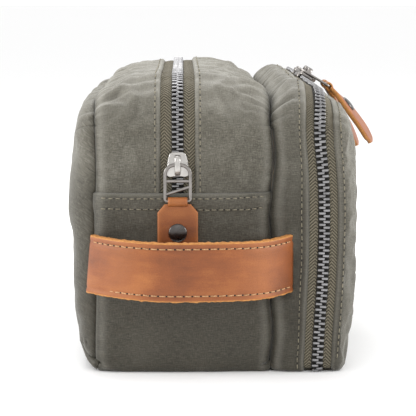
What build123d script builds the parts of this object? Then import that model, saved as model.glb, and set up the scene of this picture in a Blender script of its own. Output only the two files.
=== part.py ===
from build123d import *
import os
from math import cos, radians, sin

os.makedirs("parts", exist_ok=True)

# Shaving kit bag: a zipped main compartment with a shallower zipped compartment on its +X side.
# X runs across the bag, Y along its length (-Y is the end with the carry strap), Z up.
# The origin is on the underside of the base, at the middle of the bag's length.

# ---- driving dimensions (mm) ----
LENGTH = 250.0            # over the two ends
WALL = 2.0                # canvas with its foam
LINING = 0.6
LINING_GAP = 0.3          # between a wall and its lining
SEAM_GAP = 0.2            # between two pieces that are sewn edge to edge

FRONT_X = -71.0           # widest point of the front panel
FRONT_SEAM_X = -57.6      # where the front panel meets the gusset
DIVIDER_X = 27.7          # where the main compartment meets the side one
SIDE_START_X = 27.9
BACK_X = 70.6             # widest point of the lid
MAIN_TOP = 147.3
SEAM_TOP = 134.0          # height of the long top seams
SIDE_TOP = 144.5
# ---- profile of the main compartment across the bag, as (X, Z) ----
FRONT_FOOT = (-61.0, 5.0)
BASE_START = (-55.0, 0.0)
FRONT_BULGE = (FRONT_X + 0.6, 79.0)
FRONT_SHOULDER = (-65.5, 126.5)
FRONT_CREASE = (-59.0, SEAM_TOP - 0.6)
CROWN_TOP = (-15.5, MAIN_TOP)
DIVIDER_CREASE = (DIVIDER_X, SEAM_TOP - 0.6)
CREASE_ROUND = 6.0
SHOULDER_ROUND = 5.0
FOOT_ROUND = 4.0

# ---- profile of the side compartment ----
LID_SHOULDER_X = 65.6
LID_BULGE_Z = 74.0
LID_FOOT = (66.0, 7.0)
SIDE_BASE_END = (57.0, 0.0)
SEAM_ROUND = 5.0          # radius beside the divider, on top

# ---- bends and corners along the bag ----
TOP_BEND = 25.0           # radius where the top turns down into the ends
TOP_SPARE = 0.7           # height of that bend's crest above the top
END_SPARE = 2.0           # extra length that the ends' own outline trims away
END_CORNER = 14.0         # radius of the upright corners of the front panel and the lid
SEAM_CORNER = 3.0         # radius beside the divider seam
FLAP_HALF = 97.0          # half length of the part of the top that opens
FLAP_GAP = 0.5            # clearance round the opening part of the top

HEM_Z = 89.0              # upper edge of the lower gusset
ZIP_X = -17.5             # middle of the main zip
ZIP_SLOT = 7.9            # half width between the canvas edges beside a zip
TAPE_DEPTH = 1.0          # how far a tape lies under the canvas face
TAPE_THICK = 0.6
TEETH_RISE = 0.6          # how far the teeth stand above the canvas face
TEETH_OUT = 3.1           # half width of a closed chain
TEETH_IN = 0.9            # half of the gap down the middle of the main chain
SIDE_GAP_INNER = 1.7      # the side zip's gusset-side edge, clear of the sliders' tilted posts
SIDE_GAP_OUTER = 1.2      # the side zip's lid-side edge
TEETH_SEAT = 0.9          # how far the teeth reach below the canvas face

SIDE_ZIP_X = 52.0         # middle of the side zip
LID_X = SIDE_ZIP_X + 5.4  # where the lid's canvas starts
SIDE_CANVAS_X = SIDE_ZIP_X - 6.9
LID_BOTTOM = 5.5          # lower edge of the lid
BASE_EDGE_X = 62.5        # outer edge of the side compartment's base

# ---- side compartment's top: one arc over the gusset, the zip and the lid's edge ----
SIDE_ARC_X = 31.0
SIDE_ARC_RADIUS = 40.0
SIDE_ARC_Z = SIDE_TOP - SIDE_ARC_RADIUS
SIDE_ZIP_SINE = (SIDE_ZIP_X - SIDE_ARC_X) / SIDE_ARC_RADIUS
SIDE_ZIP_COSINE = (1 - SIDE_ZIP_SINE**2) ** 0.5

# ---- zip hardware ----
SLIDER_LENGTH = 12.5
SLIDER_NARROW = 8.2
SLIDER_WIDE = 12.0
PLATE = 1.2
TOP_PLATE_Z = 1.0         # underside of the slider's outer plate above the canvas face
LOW_PLATE_Z = -3.7        # inner face of its inner plate
POST_WIDTH = 1.0
CROWN_WIDTH = 2.8
CROWN_HALF = 4.6
CROWN_RISE = 3.6
PULL_WIDTH = 13.9
PULL_LENGTH = 17.6        # from the hinge bar to the end bar
PULL_RAIL = 1.6
PULL_THICK = 1.4
BAR = 1.4                 # thickness of the pull's hinge bar and end bar
RUNG = 1.3                # thickness of the two rungs between them
FIRST_RUNG = 7.8          # level rung, below the hinge bar
SLANT_RUNG = 12.4         # middle of the slanting rung
SLANT_ANGLE = 18.0
PULL_ROUND = 5.0          # radius of the arched end of the pull
WINDOW_ROUND = 3.6        # radius inside that arch
POST_LENGTH = 3.0
POST_BACK = 3.85          # post's middle from the slider's middle, towards the wide end
SLIDER_ROUND = 1.0
SLIDER_MOUTH = 3.0        # length of the flare's bevel at the wide end
SLIDER_CHAMFER = 2.0
CROWN_ROUND = 2.0
CROWN_LEG = 1.3           # thickness of the crown's two feet
PIVOT_RISE = 1.3          # hinge bar above the slider's outer plate
TAB_WIDTH = 19.0
TAB_NECK = 9.4
TAB_LENGTH = 40.0
TAB_THICK = 2.4
TAB_SHOULDER = 5.6        # length of the bevel from the neck to the full width
TAB_LOOP = 1.0            # inner radius of the leather round the end bar
TAB_ROUND = 8.5           # radius of the tab's free corners
RIVET_DOWN = 15.2         # rivet centre below the end bar
RIVET_CAP = 9.0
RIVET_HOLE = 4.0
RIVET_GAP = 0.1           # between the rivet and the leather
RIVET_FACE = 1.2          # rise of the domed cap
RIVET_BACK = 0.8
RIVET_TAPER = 30.0

MAIN_SLIDER_Z = 103.0
SIDE_SLIDER_Y = 11.0
SIDE_HINGE_BACK = 4.4     # the side pulls' hinge bars lie beyond the crown, away from the lid
SIDE_PULL_SLOPE = 31.0    # degrees below level at rest
SIDE_TAB_SLOPES = {"near": 51.0, "far": 61.0}

# ---- carry strap ----
STRAP_LOW = 40.0
STRAP_HIGH = 68.4
STRAP_THICK = 3.5
STRAP_REACH = 27.0        # middle of the strap beyond the end of the bag
STRAP_CORNER = 18.0
STRAP_GAP = 0.2           # between the strap's ends and the bag
STRAP_LEFT = (FRONT_SEAM_X - 1.0, FRONT_SEAM_X + 5.6)     # X where it leaves the bag, X at its corner
STRAP_RIGHT = (DIVIDER_X + 9.7, DIVIDER_X + 2.8)

# ---- compartment volumes ----


def corner(vertices, x, z, reach=1.0):
    """The sketch corners that lie near one point."""
    return [v for v in vertices if abs(v.X - x) < reach and abs(v.Y - z) < reach]


def main_volume(inset=0.0):
    """The main compartment's rounded volume, shrunk by inset on every face."""
    with BuildPart() as volume:
        with BuildSketch(Plane.XZ.offset(-LENGTH / 2 - END_SPARE)) as across:
            with BuildLine():
                ThreePointArc(FRONT_FOOT, FRONT_BULGE, FRONT_SHOULDER)
                Line(FRONT_SHOULDER, FRONT_CREASE)
                ThreePointArc(FRONT_CREASE, CROWN_TOP, DIVIDER_CREASE)
                Line(DIVIDER_CREASE, (DIVIDER_X, 0))
                Line((DIVIDER_X, 0), BASE_START)
                Line(BASE_START, FRONT_FOOT)
            make_face()
            fillet(corner(across.vertices(), *FRONT_CREASE), CREASE_ROUND)
            fillet(corner(across.vertices(), *FRONT_SHOULDER), SHOULDER_ROUND)
            for point in (BASE_START, FRONT_FOOT):
                fillet(corner(across.vertices(), *point), FOOT_ROUND)
            offset(amount=-inset, kind=Kind.INTERSECTION)
        extrude(amount=LENGTH + 2 * END_SPARE)
        with BuildSketch(Plane.YZ.offset(FRONT_X - 1)) as along:
            with Locations((0, (MAIN_TOP + TOP_SPARE) / 2)):
                Rectangle(LENGTH - 2 * inset, MAIN_TOP + TOP_SPARE)
            fillet(along.vertices().group_by(Axis.Y)[-1], TOP_BEND - inset)
            fillet(along.vertices().group_by(Axis.Y)[0], SEAM_CORNER)
        extrude(amount=DIVIDER_X - FRONT_X + 2, mode=Mode.INTERSECT)
        with BuildSketch(Plane.XY.offset(-1)) as plan:
            with Locations(((FRONT_X + DIVIDER_X) / 2, 0)):
                Rectangle(DIVIDER_X - FRONT_X - 2 * inset, LENGTH - 2 * inset)
            fillet(plan.vertices().group_by(Axis.X)[0], END_CORNER - inset)
            fillet(plan.vertices().group_by(Axis.X)[-1], SEAM_CORNER)
        extrude(amount=MAIN_TOP + 2, mode=Mode.INTERSECT)
    return volume.part


def side_volume(inset=0.0):
    """The side compartment's rounded volume, shrunk by inset on every face."""
    rise = (SIDE_ARC_RADIUS**2 - (SIDE_ARC_X - SIDE_START_X) ** 2) ** 0.5
    edge = (SIDE_START_X, SIDE_ARC_Z + rise)
    drop = (SIDE_ARC_RADIUS**2 - (LID_SHOULDER_X - SIDE_ARC_X) ** 2) ** 0.5
    shoulder = (LID_SHOULDER_X, SIDE_ARC_Z + drop)
    zip_point = (SIDE_ZIP_X, SIDE_ARC_Z + SIDE_ARC_RADIUS * SIDE_ZIP_COSINE)
    with BuildPart() as volume:
        with BuildSketch(Plane.XZ.offset(-LENGTH / 2 - END_SPARE)) as across:
            with BuildLine():
                ThreePointArc(edge, zip_point, shoulder)
                ThreePointArc(shoulder, (BACK_X, LID_BULGE_Z), LID_FOOT)
                Line(LID_FOOT, SIDE_BASE_END)
                Line(SIDE_BASE_END, (SIDE_START_X, 0))
                Line((SIDE_START_X, 0), edge)
            make_face()
            fillet(corner(across.vertices(), *edge), SEAM_ROUND)
            for point in (LID_FOOT, SIDE_BASE_END):
                fillet(corner(across.vertices(), *point), FOOT_ROUND)
            offset(amount=-inset, kind=Kind.INTERSECTION)
        extrude(amount=LENGTH + 2 * END_SPARE)
        with BuildSketch(Plane.YZ.offset(SIDE_START_X - 1)) as along:
            with Locations((0, (SIDE_TOP + TOP_SPARE) / 2)):
                Rectangle(LENGTH - 2 * inset, SIDE_TOP + TOP_SPARE)
            fillet(along.vertices().group_by(Axis.Y)[-1], TOP_BEND - inset)
            fillet(along.vertices().group_by(Axis.Y)[0], SEAM_CORNER)
        extrude(amount=BACK_X - SIDE_START_X + 2, mode=Mode.INTERSECT)
        with BuildSketch(Plane.XY.offset(-1)) as plan:
            with Locations(((SIDE_START_X + BACK_X) / 2, 0)):
                Rectangle(BACK_X - SIDE_START_X - 2 * inset, LENGTH - 2 * inset)
            fillet(plan.vertices().group_by(Axis.X)[-1], END_CORNER - inset)
            fillet(plan.vertices().group_by(Axis.X)[0], SEAM_CORNER)
        extrude(amount=SIDE_TOP + 2, mode=Mode.INTERSECT)
    return volume.part


def block(x, y, z, mode):
    """A box between two limits along each axis, added to or taken from the open part."""
    with Locations(((x[0] + x[1]) / 2, (y[0] + y[1]) / 2, (z[0] + z[1]) / 2)):
        Box(x[1] - x[0], y[1] - y[0], z[1] - z[0], mode=mode)


def finish(piece, name):
    """Label one finished piece and write it out."""
    piece.part.label = name
    export_step(piece.part, f"parts/{name}.step")


FAR = 400.0
EVERYWHERE = (-FAR, FAR)
NEAR_END = (-FAR, -FLAP_HALF - FLAP_GAP)
FAR_END = (FLAP_HALF + FLAP_GAP, FAR)
TOP_Z = 118.0             # below the opening part of the top

main_outer = main_volume()
main_inner = main_volume(WALL)
side_outer = side_volume()
side_inner = side_volume(WALL)

# ---- main compartment: sewn panels ----

with BuildPart() as front_panel:
    add(main_outer)
    add(main_inner, mode=Mode.SUBTRACT)
    block((-FAR, FRONT_SEAM_X - SEAM_GAP), EVERYWHERE, EVERYWHERE, Mode.INTERSECT)
finish(front_panel, "front_panel")

with BuildPart() as divider_panel:
    add(main_outer)
    add(main_inner, mode=Mode.SUBTRACT)
    block((DIVIDER_X - WALL, FAR), (-LENGTH / 2 + WALL, LENGTH / 2 - WALL),
          (WALL, SEAM_TOP - 2 * WALL), Mode.INTERSECT)
finish(divider_panel, "divider_panel")

GUSSET_X = (FRONT_SEAM_X, FAR)

with BuildPart() as lower_gusset:
    add(main_outer)
    add(main_inner, mode=Mode.SUBTRACT)
    block(GUSSET_X, EVERYWHERE, (-FAR, HEM_Z), Mode.INTERSECT)
    block((DIVIDER_X - WALL - SEAM_GAP, FAR), (-LENGTH / 2 + WALL - SEAM_GAP, LENGTH / 2 - WALL + SEAM_GAP),
          (WALL - SEAM_GAP, FAR), Mode.SUBTRACT)
finish(lower_gusset, "lower_gusset")


def zip_gusset(x, y, z, name):
    """One stretch of the canvas between a zip tape and a long seam."""
    with BuildPart() as canvas:
        add(main_outer)
        add(main_inner, mode=Mode.SUBTRACT)
        block(x, y, z, Mode.INTERSECT)
        block((DIVIDER_X - WALL - SEAM_GAP, FAR),
              (-LENGTH / 2 + WALL - SEAM_GAP, LENGTH / 2 - WALL + SEAM_GAP),
              (-FAR, SEAM_TOP - 2 * WALL + SEAM_GAP), Mode.SUBTRACT)
    finish(canvas, name)


def zip_strip(outer, inner, x, y, z, name):
    """One stretch of a zip tape or a row of teeth, between two offset volumes."""
    with BuildPart() as strip:
        add(outer)
        add(inner, mode=Mode.SUBTRACT)
        block(x, y, z, Mode.INTERSECT)
    finish(strip, name)


TAPE_INNER_FACE = TAPE_DEPTH + TAPE_THICK
main_tape_outer = main_volume(TAPE_DEPTH)
main_tape_inner = main_volume(TAPE_INNER_FACE)
main_teeth_outer = main_volume(-TEETH_RISE)
main_teeth_inner = main_volume(TEETH_SEAT)

LEFT_CANVAS = (FRONT_SEAM_X, ZIP_X - ZIP_SLOT - SEAM_GAP)
RIGHT_CANVAS = (ZIP_X + ZIP_SLOT + SEAM_GAP, FAR)
LEFT_TAPE = (ZIP_X - ZIP_SLOT, ZIP_X - TEETH_IN)
RIGHT_TAPE = (ZIP_X + TEETH_IN, ZIP_X + ZIP_SLOT)
LEFT_TEETH = (ZIP_X - TEETH_OUT, ZIP_X - TEETH_IN)
RIGHT_TEETH = (ZIP_X + TEETH_IN, ZIP_X + TEETH_OUT)
ABOVE_HEM = (HEM_Z + SEAM_GAP, FAR)
FLAP_Y = (-FLAP_HALF, FLAP_HALF)
FLAP_Z = (TOP_Z, FAR)

for stretch, y, z in (("near", NEAR_END, ABOVE_HEM), ("far", FAR_END, ABOVE_HEM), ("top", FLAP_Y, FLAP_Z)):
    zip_gusset(LEFT_CANVAS, y, z, f"zip_gusset_left_{stretch}")
    zip_gusset(RIGHT_CANVAS, y, z, f"zip_gusset_right_{stretch}")
    for side, tape_x, teeth_x in (("left", LEFT_TAPE, LEFT_TEETH), ("right", RIGHT_TAPE, RIGHT_TEETH)):
        zip_strip(main_tape_outer, main_tape_inner, tape_x, y, z, f"main_tape_{side}_{stretch}")
        zip_strip(main_teeth_outer, main_teeth_inner, teeth_x, y, z, f"main_teeth_{side}_{stretch}")

# ---- linings: thin bags inside the walls, left open under the zips and the opening top ----

LINING_OUT = WALL + LINING_GAP
LINING_IN = LINING_OUT + LINING
ZIP_CLEAR = 9.5           # half width kept free inside a zip
ZIP_FOOT = 6.0            # and how far below its lower end
LINING_FREE = 3.0         # beyond the seams that bound an opening

with BuildPart() as main_lining:
    add(main_volume(LINING_OUT))
    add(main_volume(LINING_IN), mode=Mode.SUBTRACT)
    block((ZIP_X - ZIP_CLEAR, ZIP_X + ZIP_CLEAR), EVERYWHERE, (HEM_Z - ZIP_FOOT, FAR), Mode.SUBTRACT)
    block((FRONT_SEAM_X - LINING_FREE, DIVIDER_X + LINING_FREE), EVERYWHERE, (TOP_Z, FAR), Mode.SUBTRACT)
finish(main_lining, "main_lining")

# ---- side compartment: gusset, base, lid ----

SIDE_WALL_Z = (WALL + SEAM_GAP, FAR)

with BuildPart() as side_gusset:
    add(side_outer)
    add(side_inner, mode=Mode.SUBTRACT)
    block((SIDE_START_X, SIDE_CANVAS_X - SEAM_GAP), EVERYWHERE, SIDE_WALL_Z, Mode.INTERSECT)
    block((SIDE_START_X - 1, SIDE_START_X + WALL), (-LENGTH / 2 + WALL, LENGTH / 2 - WALL),
          (WALL, SEAM_TOP - WALL), Mode.SUBTRACT)
finish(side_gusset, "side_gusset")

with BuildPart() as side_base:
    add(side_outer)
    block((SIDE_START_X, BASE_EDGE_X), (-LENGTH / 2, LENGTH / 2), (-1, WALL), Mode.INTERSECT)
finish(side_base, "side_base")

side_tape_outer = side_volume(TAPE_DEPTH)
side_tape_inner = side_volume(TAPE_INNER_FACE)
side_teeth_outer = side_volume(-TEETH_RISE)
side_teeth_inner = side_volume(TEETH_SEAT)
LID_Z = (LID_BOTTOM, FAR)
INNER_EDGE = SIDE_ZIP_X - SIDE_GAP_INNER
OUTER_EDGE = SIDE_ZIP_X + SIDE_GAP_OUTER

zip_strip(side_tape_outer, side_tape_inner, (SIDE_CANVAS_X, INNER_EDGE), EVERYWHERE, SIDE_WALL_Z,
          "side_tape_inner")
zip_strip(side_teeth_outer, side_teeth_inner, (SIDE_ZIP_X - TEETH_OUT, INNER_EDGE), EVERYWHERE,
          SIDE_WALL_Z, "side_teeth_inner")
zip_strip(side_tape_outer, side_tape_inner, (OUTER_EDGE, LID_X - SEAM_GAP), EVERYWHERE, LID_Z,
          "side_tape_outer")
zip_strip(side_teeth_outer, side_teeth_inner, (OUTER_EDGE, SIDE_ZIP_X + TEETH_OUT), EVERYWHERE, LID_Z,
          "side_teeth_outer")

with BuildPart() as lid_panel:
    add(side_outer)
    add(side_inner, mode=Mode.SUBTRACT)
    block((LID_X, FAR), EVERYWHERE, LID_Z, Mode.INTERSECT)
finish(lid_panel, "lid_panel")

with BuildPart() as lid_lining:
    add(side_volume(LINING_OUT))
    add(side_volume(LINING_IN), mode=Mode.SUBTRACT)
    block((LID_X + WALL, FAR), EVERYWHERE, (LID_BOTTOM + 1, FAR), Mode.INTERSECT)
finish(lid_lining, "lid_lining")

with BuildPart() as side_lining:
    add(side_volume(LINING_OUT))
    add(side_volume(LINING_IN), mode=Mode.SUBTRACT)
    block((SIDE_START_X, SIDE_CANVAS_X - LINING_FREE), EVERYWHERE, EVERYWHERE, Mode.INTERSECT)
finish(side_lining, "side_lining")

# ---- zip hardware ----


def slider(place, name):
    """A slider: two plates, the post between them, and the crown that holds the pull.

    The plane's origin is on the canvas face at the slider's middle, its y axis points to the
    narrow end and its z axis outwards.
    """
    half = SLIDER_LENGTH / 2
    with BuildPart() as body:
        with BuildSketch(place.offset(TOP_PLATE_Z)) as outline:
            with BuildLine():
                Polyline((-SLIDER_NARROW / 2, half), (SLIDER_NARROW / 2, half),
                         (SLIDER_WIDE / 2, -half + SLIDER_MOUTH),
                         (SLIDER_WIDE / 2 - SLIDER_CHAMFER, -half),
                         (SLIDER_CHAMFER - SLIDER_WIDE / 2, -half),
                         (-SLIDER_WIDE / 2, -half + SLIDER_MOUTH), close=True)
            make_face()
            fillet(outline.vertices(), SLIDER_ROUND)
        extrude(amount=PLATE)
        with BuildSketch(place.offset(LOW_PLATE_Z)) as inner_outline:
            Rectangle(SLIDER_NARROW, SLIDER_LENGTH)
            fillet(inner_outline.vertices(), SLIDER_ROUND)
        extrude(amount=PLATE)
        with BuildSketch(place.offset(LOW_PLATE_Z + PLATE)):
            with Locations((0, -POST_BACK)):
                Rectangle(POST_WIDTH, POST_LENGTH)
        extrude(amount=TOP_PLATE_Z - LOW_PLATE_Z - PLATE)
        crown_side = Plane(place.origin - place.x_dir * CROWN_WIDTH / 2, x_dir=place.y_dir, z_dir=place.x_dir)
        roof = TOP_PLATE_Z + PLATE + CROWN_RISE
        foot = TOP_PLATE_Z + PLATE
        with BuildSketch(crown_side) as crown:
            with Locations((0, (foot + roof) / 2)):
                Rectangle(2 * CROWN_HALF, roof - foot)
            fillet(crown.vertices().group_by(Axis.Y)[-1], CROWN_ROUND)
            with Locations((0, (foot + roof - PLATE) / 2)):
                Rectangle(2 * (CROWN_HALF - CROWN_LEG), roof - foot - PLATE, mode=Mode.SUBTRACT)
        extrude(amount=CROWN_WIDTH)
    finish(body, name)


def pull(place, name):
    """A ladder pull. The plane's origin is on the hinge bar, x along the bar, y back from the ladder."""
    middle = -PULL_LENGTH / 2
    outer_length = PULL_LENGTH + BAR
    under = place.offset(-PULL_THICK / 2)
    with BuildPart() as ladder:
        with BuildSketch(under) as outline:
            with Locations((0, middle)):
                Rectangle(PULL_WIDTH, outer_length)
            fillet(outline.vertices().group_by(Axis.Y)[-1], PULL_ROUND)
            fillet(outline.vertices().group_by(Axis.Y)[0], SLIDER_ROUND)
        extrude(amount=PULL_THICK)
        with BuildSketch(under) as window:
            with Locations((0, middle)):
                Rectangle(PULL_WIDTH - 2 * PULL_RAIL, outer_length - 2 * BAR)
            fillet(window.vertices().group_by(Axis.Y)[-1], WINDOW_ROUND)
        extrude(amount=PULL_THICK, mode=Mode.SUBTRACT)
        with BuildSketch(under):
            with Locations((0, -FIRST_RUNG)):
                Rectangle(PULL_WIDTH - PULL_RAIL, RUNG)
            with Locations(Location((0, -SLANT_RUNG, 0), SLANT_ANGLE)):
                Rectangle(PULL_WIDTH - PULL_RAIL, RUNG)
        extrude(amount=PULL_THICK)
    finish(ladder, name)


def tab(place, name):
    """A leather tab looped round the pull's end bar. The plane's origin is on the end bar, y back."""
    neck_y = -(TAB_LOOP + TAB_THICK / 2)
    with BuildPart() as leather:
        with BuildSketch(place.offset(-TAB_THICK / 2)) as outline:
            with BuildLine():
                Polyline((-TAB_NECK / 2, 0), (TAB_NECK / 2, 0), (TAB_NECK / 2, neck_y),
                         (TAB_WIDTH / 2, neck_y - TAB_SHOULDER), (TAB_WIDTH / 2, -TAB_LENGTH),
                         (-TAB_WIDTH / 2, -TAB_LENGTH), (-TAB_WIDTH / 2, neck_y - TAB_SHOULDER),
                         (-TAB_NECK / 2, neck_y), close=True)
            make_face()
            fillet(outline.vertices().group_by(Axis.Y)[0], TAB_ROUND)
            with Locations((0, -RIVET_DOWN)):
                Circle(RIVET_HOLE / 2, mode=Mode.SUBTRACT)
        extrude(amount=TAB_THICK)
        loop_side = Plane(place.origin - place.x_dir * TAB_NECK / 2, x_dir=place.y_dir, z_dir=place.x_dir)
        with BuildSketch(loop_side):
            Circle(TAB_LOOP + TAB_THICK / 2)
        extrude(amount=TAB_NECK)
        with BuildSketch(loop_side):
            Circle(TAB_LOOP)
        extrude(amount=TAB_NECK, mode=Mode.SUBTRACT)
    finish(leather, name)


def rivet(place, name):
    """The two caps and the shank of the rivet through a tab."""
    with BuildPart() as stud:
        with BuildSketch(place.offset(-TAB_THICK / 2 - RIVET_GAP)):
            with Locations((0, -RIVET_DOWN)):
                Circle(RIVET_HOLE / 2 - RIVET_GAP)
        extrude(amount=TAB_THICK + 2 * RIVET_GAP)
        with BuildSketch(place.offset(TAB_THICK / 2 + RIVET_GAP)):
            with Locations((0, -RIVET_DOWN)):
                Circle(RIVET_CAP / 2)
        extrude(amount=RIVET_FACE, taper=RIVET_TAPER)
        with BuildSketch(place.offset(-TAB_THICK / 2 - RIVET_GAP - RIVET_BACK)):
            with Locations((0, -RIVET_DOWN)):
                Circle(RIVET_CAP / 2)
        extrude(amount=RIVET_BACK)
    finish(stud, name)


def along(place, x=0.0, y=0.0, z=0.0):
    """The same plane, moved within its own axes."""
    return Plane(place.origin + place.x_dir * x + place.y_dir * y + place.z_dir * z,
                 x_dir=place.x_dir, z_dir=place.z_dir)


# main slider: on the near end, its pull and tab hanging down behind the strap
main_place = Plane((ZIP_X, -LENGTH / 2, MAIN_SLIDER_Z), x_dir=(1, 0, 0), z_dir=(0, -1, 0))
hinge_height = TOP_PLATE_Z + PLATE + PIVOT_RISE
main_hinge = along(main_place, z=hinge_height)
slider(main_place, "main_slider")
pull(main_hinge, "main_pull")
tab(along(main_hinge, y=-PULL_LENGTH), "main_tab")
rivet(along(main_hinge, y=-PULL_LENGTH), "main_rivet")

# side sliders: head to head on the top, their pulls laid over the lid's edge
ZIP_NORMAL = Vector(SIDE_ZIP_SINE, 0, SIDE_ZIP_COSINE)
ACROSS_ZIP = Vector(SIDE_ZIP_COSINE, 0, -SIDE_ZIP_SINE)
for end, sign in (("near", -1), ("far", 1)):
    face = Vector(SIDE_ZIP_X, sign * SIDE_SLIDER_Y, SIDE_ARC_Z + SIDE_ARC_RADIUS * SIDE_ZIP_COSINE)
    side_place = Plane(face, x_dir=ACROSS_ZIP * sign, z_dir=ZIP_NORMAL)
    slope = radians(SIDE_PULL_SLOPE)
    tab_slope = radians(SIDE_TAB_SLOPES[end])
    pull_back = Vector(-cos(slope), 0, sin(slope))
    hinge_point = face + ZIP_NORMAL * hinge_height - ACROSS_ZIP * SIDE_HINGE_BACK
    side_hinge = Plane(hinge_point, x_dir=(0, 1, 0), z_dir=(sin(slope), 0, cos(slope)))
    tab_point = hinge_point - pull_back * PULL_LENGTH
    tab_hinge = Plane(tab_point, x_dir=(0, 1, 0), z_dir=(sin(tab_slope), 0, cos(tab_slope)))
    slider(side_place, f"side_slider_{end}")
    pull(side_hinge, f"side_pull_{end}")
    tab(tab_hinge, f"side_tab_{end}")
    rivet(tab_hinge, f"side_rivet_{end}")

# ---- carry strap across the near end, its ends caught in the two upright seams ----

with BuildPart() as carry_strap:
    with BuildSketch(Plane.XY.offset(STRAP_LOW)):
        with BuildLine() as path:
            FilletPolyline(
                (STRAP_LEFT[0], -LENGTH / 2 - STRAP_GAP),
                (STRAP_LEFT[1], -LENGTH / 2 - STRAP_REACH),
                (STRAP_RIGHT[1], -LENGTH / 2 - STRAP_REACH),
                (STRAP_RIGHT[0], -LENGTH / 2 - STRAP_GAP),
                radius=STRAP_CORNER,
            )
        trace(path.line, line_width=STRAP_THICK)
        with Locations((0, -LENGTH / 2)):
            Rectangle(2 * FAR, STRAP_THICK, align=(Align.CENTER, Align.MIN), mode=Mode.SUBTRACT)
    extrude(amount=STRAP_HIGH - STRAP_LOW)
finish(carry_strap, "carry_strap")
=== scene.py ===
import logging
import math
from dataclasses import dataclass, field
from enum import Enum
from typing import Callable, Optional, Sequence

import bmesh
import bpy
import numpy as np
from mathutils import Matrix, Vector


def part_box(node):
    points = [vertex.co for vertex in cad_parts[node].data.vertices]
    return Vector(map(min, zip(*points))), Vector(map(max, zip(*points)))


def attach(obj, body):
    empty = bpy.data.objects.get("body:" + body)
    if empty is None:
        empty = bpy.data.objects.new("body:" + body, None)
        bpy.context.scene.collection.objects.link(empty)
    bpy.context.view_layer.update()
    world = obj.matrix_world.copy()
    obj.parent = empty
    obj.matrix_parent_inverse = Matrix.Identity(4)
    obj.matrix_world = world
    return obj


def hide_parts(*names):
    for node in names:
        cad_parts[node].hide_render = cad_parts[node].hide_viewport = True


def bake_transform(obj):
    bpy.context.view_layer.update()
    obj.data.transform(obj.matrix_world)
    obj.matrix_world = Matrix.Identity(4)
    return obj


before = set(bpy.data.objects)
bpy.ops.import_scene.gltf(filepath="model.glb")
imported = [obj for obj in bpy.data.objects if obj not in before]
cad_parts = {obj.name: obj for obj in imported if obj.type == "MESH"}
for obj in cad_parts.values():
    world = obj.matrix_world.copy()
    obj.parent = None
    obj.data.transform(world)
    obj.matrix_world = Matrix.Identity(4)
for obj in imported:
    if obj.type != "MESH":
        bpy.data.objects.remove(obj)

logging.basicConfig(level=logging.INFO, format="%(message)s")
log = logging.getLogger("kit_bag")

MM = 0.001
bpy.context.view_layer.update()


def node_box(node: str) -> tuple[np.ndarray, np.ndarray]:
    """Lowest and highest corner of a CAD node at rest, in millimetres."""
    low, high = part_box(node)
    return np.array(low) / MM, np.array(high) / MM


# ---------------------------------------------------------------- shader kit


class Wire:
    """An output socket that arithmetic can be done on."""

    def __init__(self, shade: "Shade", socket: bpy.types.NodeSocket) -> None:
        """Keep the shader and the socket together."""
        self.shade = shade
        self.socket = socket

    def _maths(self, operation: str, first: object, second: object) -> "Wire":
        """Add one Math node.

        Args:
            operation: the Math node's operation.
            first: left value, a Wire or a number.
            second: right value, a Wire or a number.

        Returns:
            The node's result.
        """
        return self.shade.node("ShaderNodeMath", {"operation": operation}, {0: first, 1: second})

    def __add__(self, other: object) -> "Wire":
        """Sum."""
        return self._maths("ADD", self, other)

    def __radd__(self, other: object) -> "Wire":
        """Sum with the number first."""
        return self._maths("ADD", other, self)

    def __sub__(self, other: object) -> "Wire":
        """Difference."""
        return self._maths("SUBTRACT", self, other)

    def __rsub__(self, other: object) -> "Wire":
        """Difference with the number first."""
        return self._maths("SUBTRACT", other, self)

    def __mul__(self, other: object) -> "Wire":
        """Product."""
        return self._maths("MULTIPLY", self, other)

    def __rmul__(self, other: object) -> "Wire":
        """Product with the number first."""
        return self._maths("MULTIPLY", other, self)

    def __pow__(self, other: object) -> "Wire":
        """Power."""
        return self._maths("POWER", self, other)

    def sine(self) -> "Wire":
        """Sine of the value."""
        return self.shade.node("ShaderNodeMath", {"operation": "SINE"}, {0: self})

    def clipped(self) -> "Wire":
        """The value held between 0 and 1."""
        return self.shade.node("ShaderNodeMath", {"operation": "ADD", "use_clamp": True}, {0: self, 1: 0.0})


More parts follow.
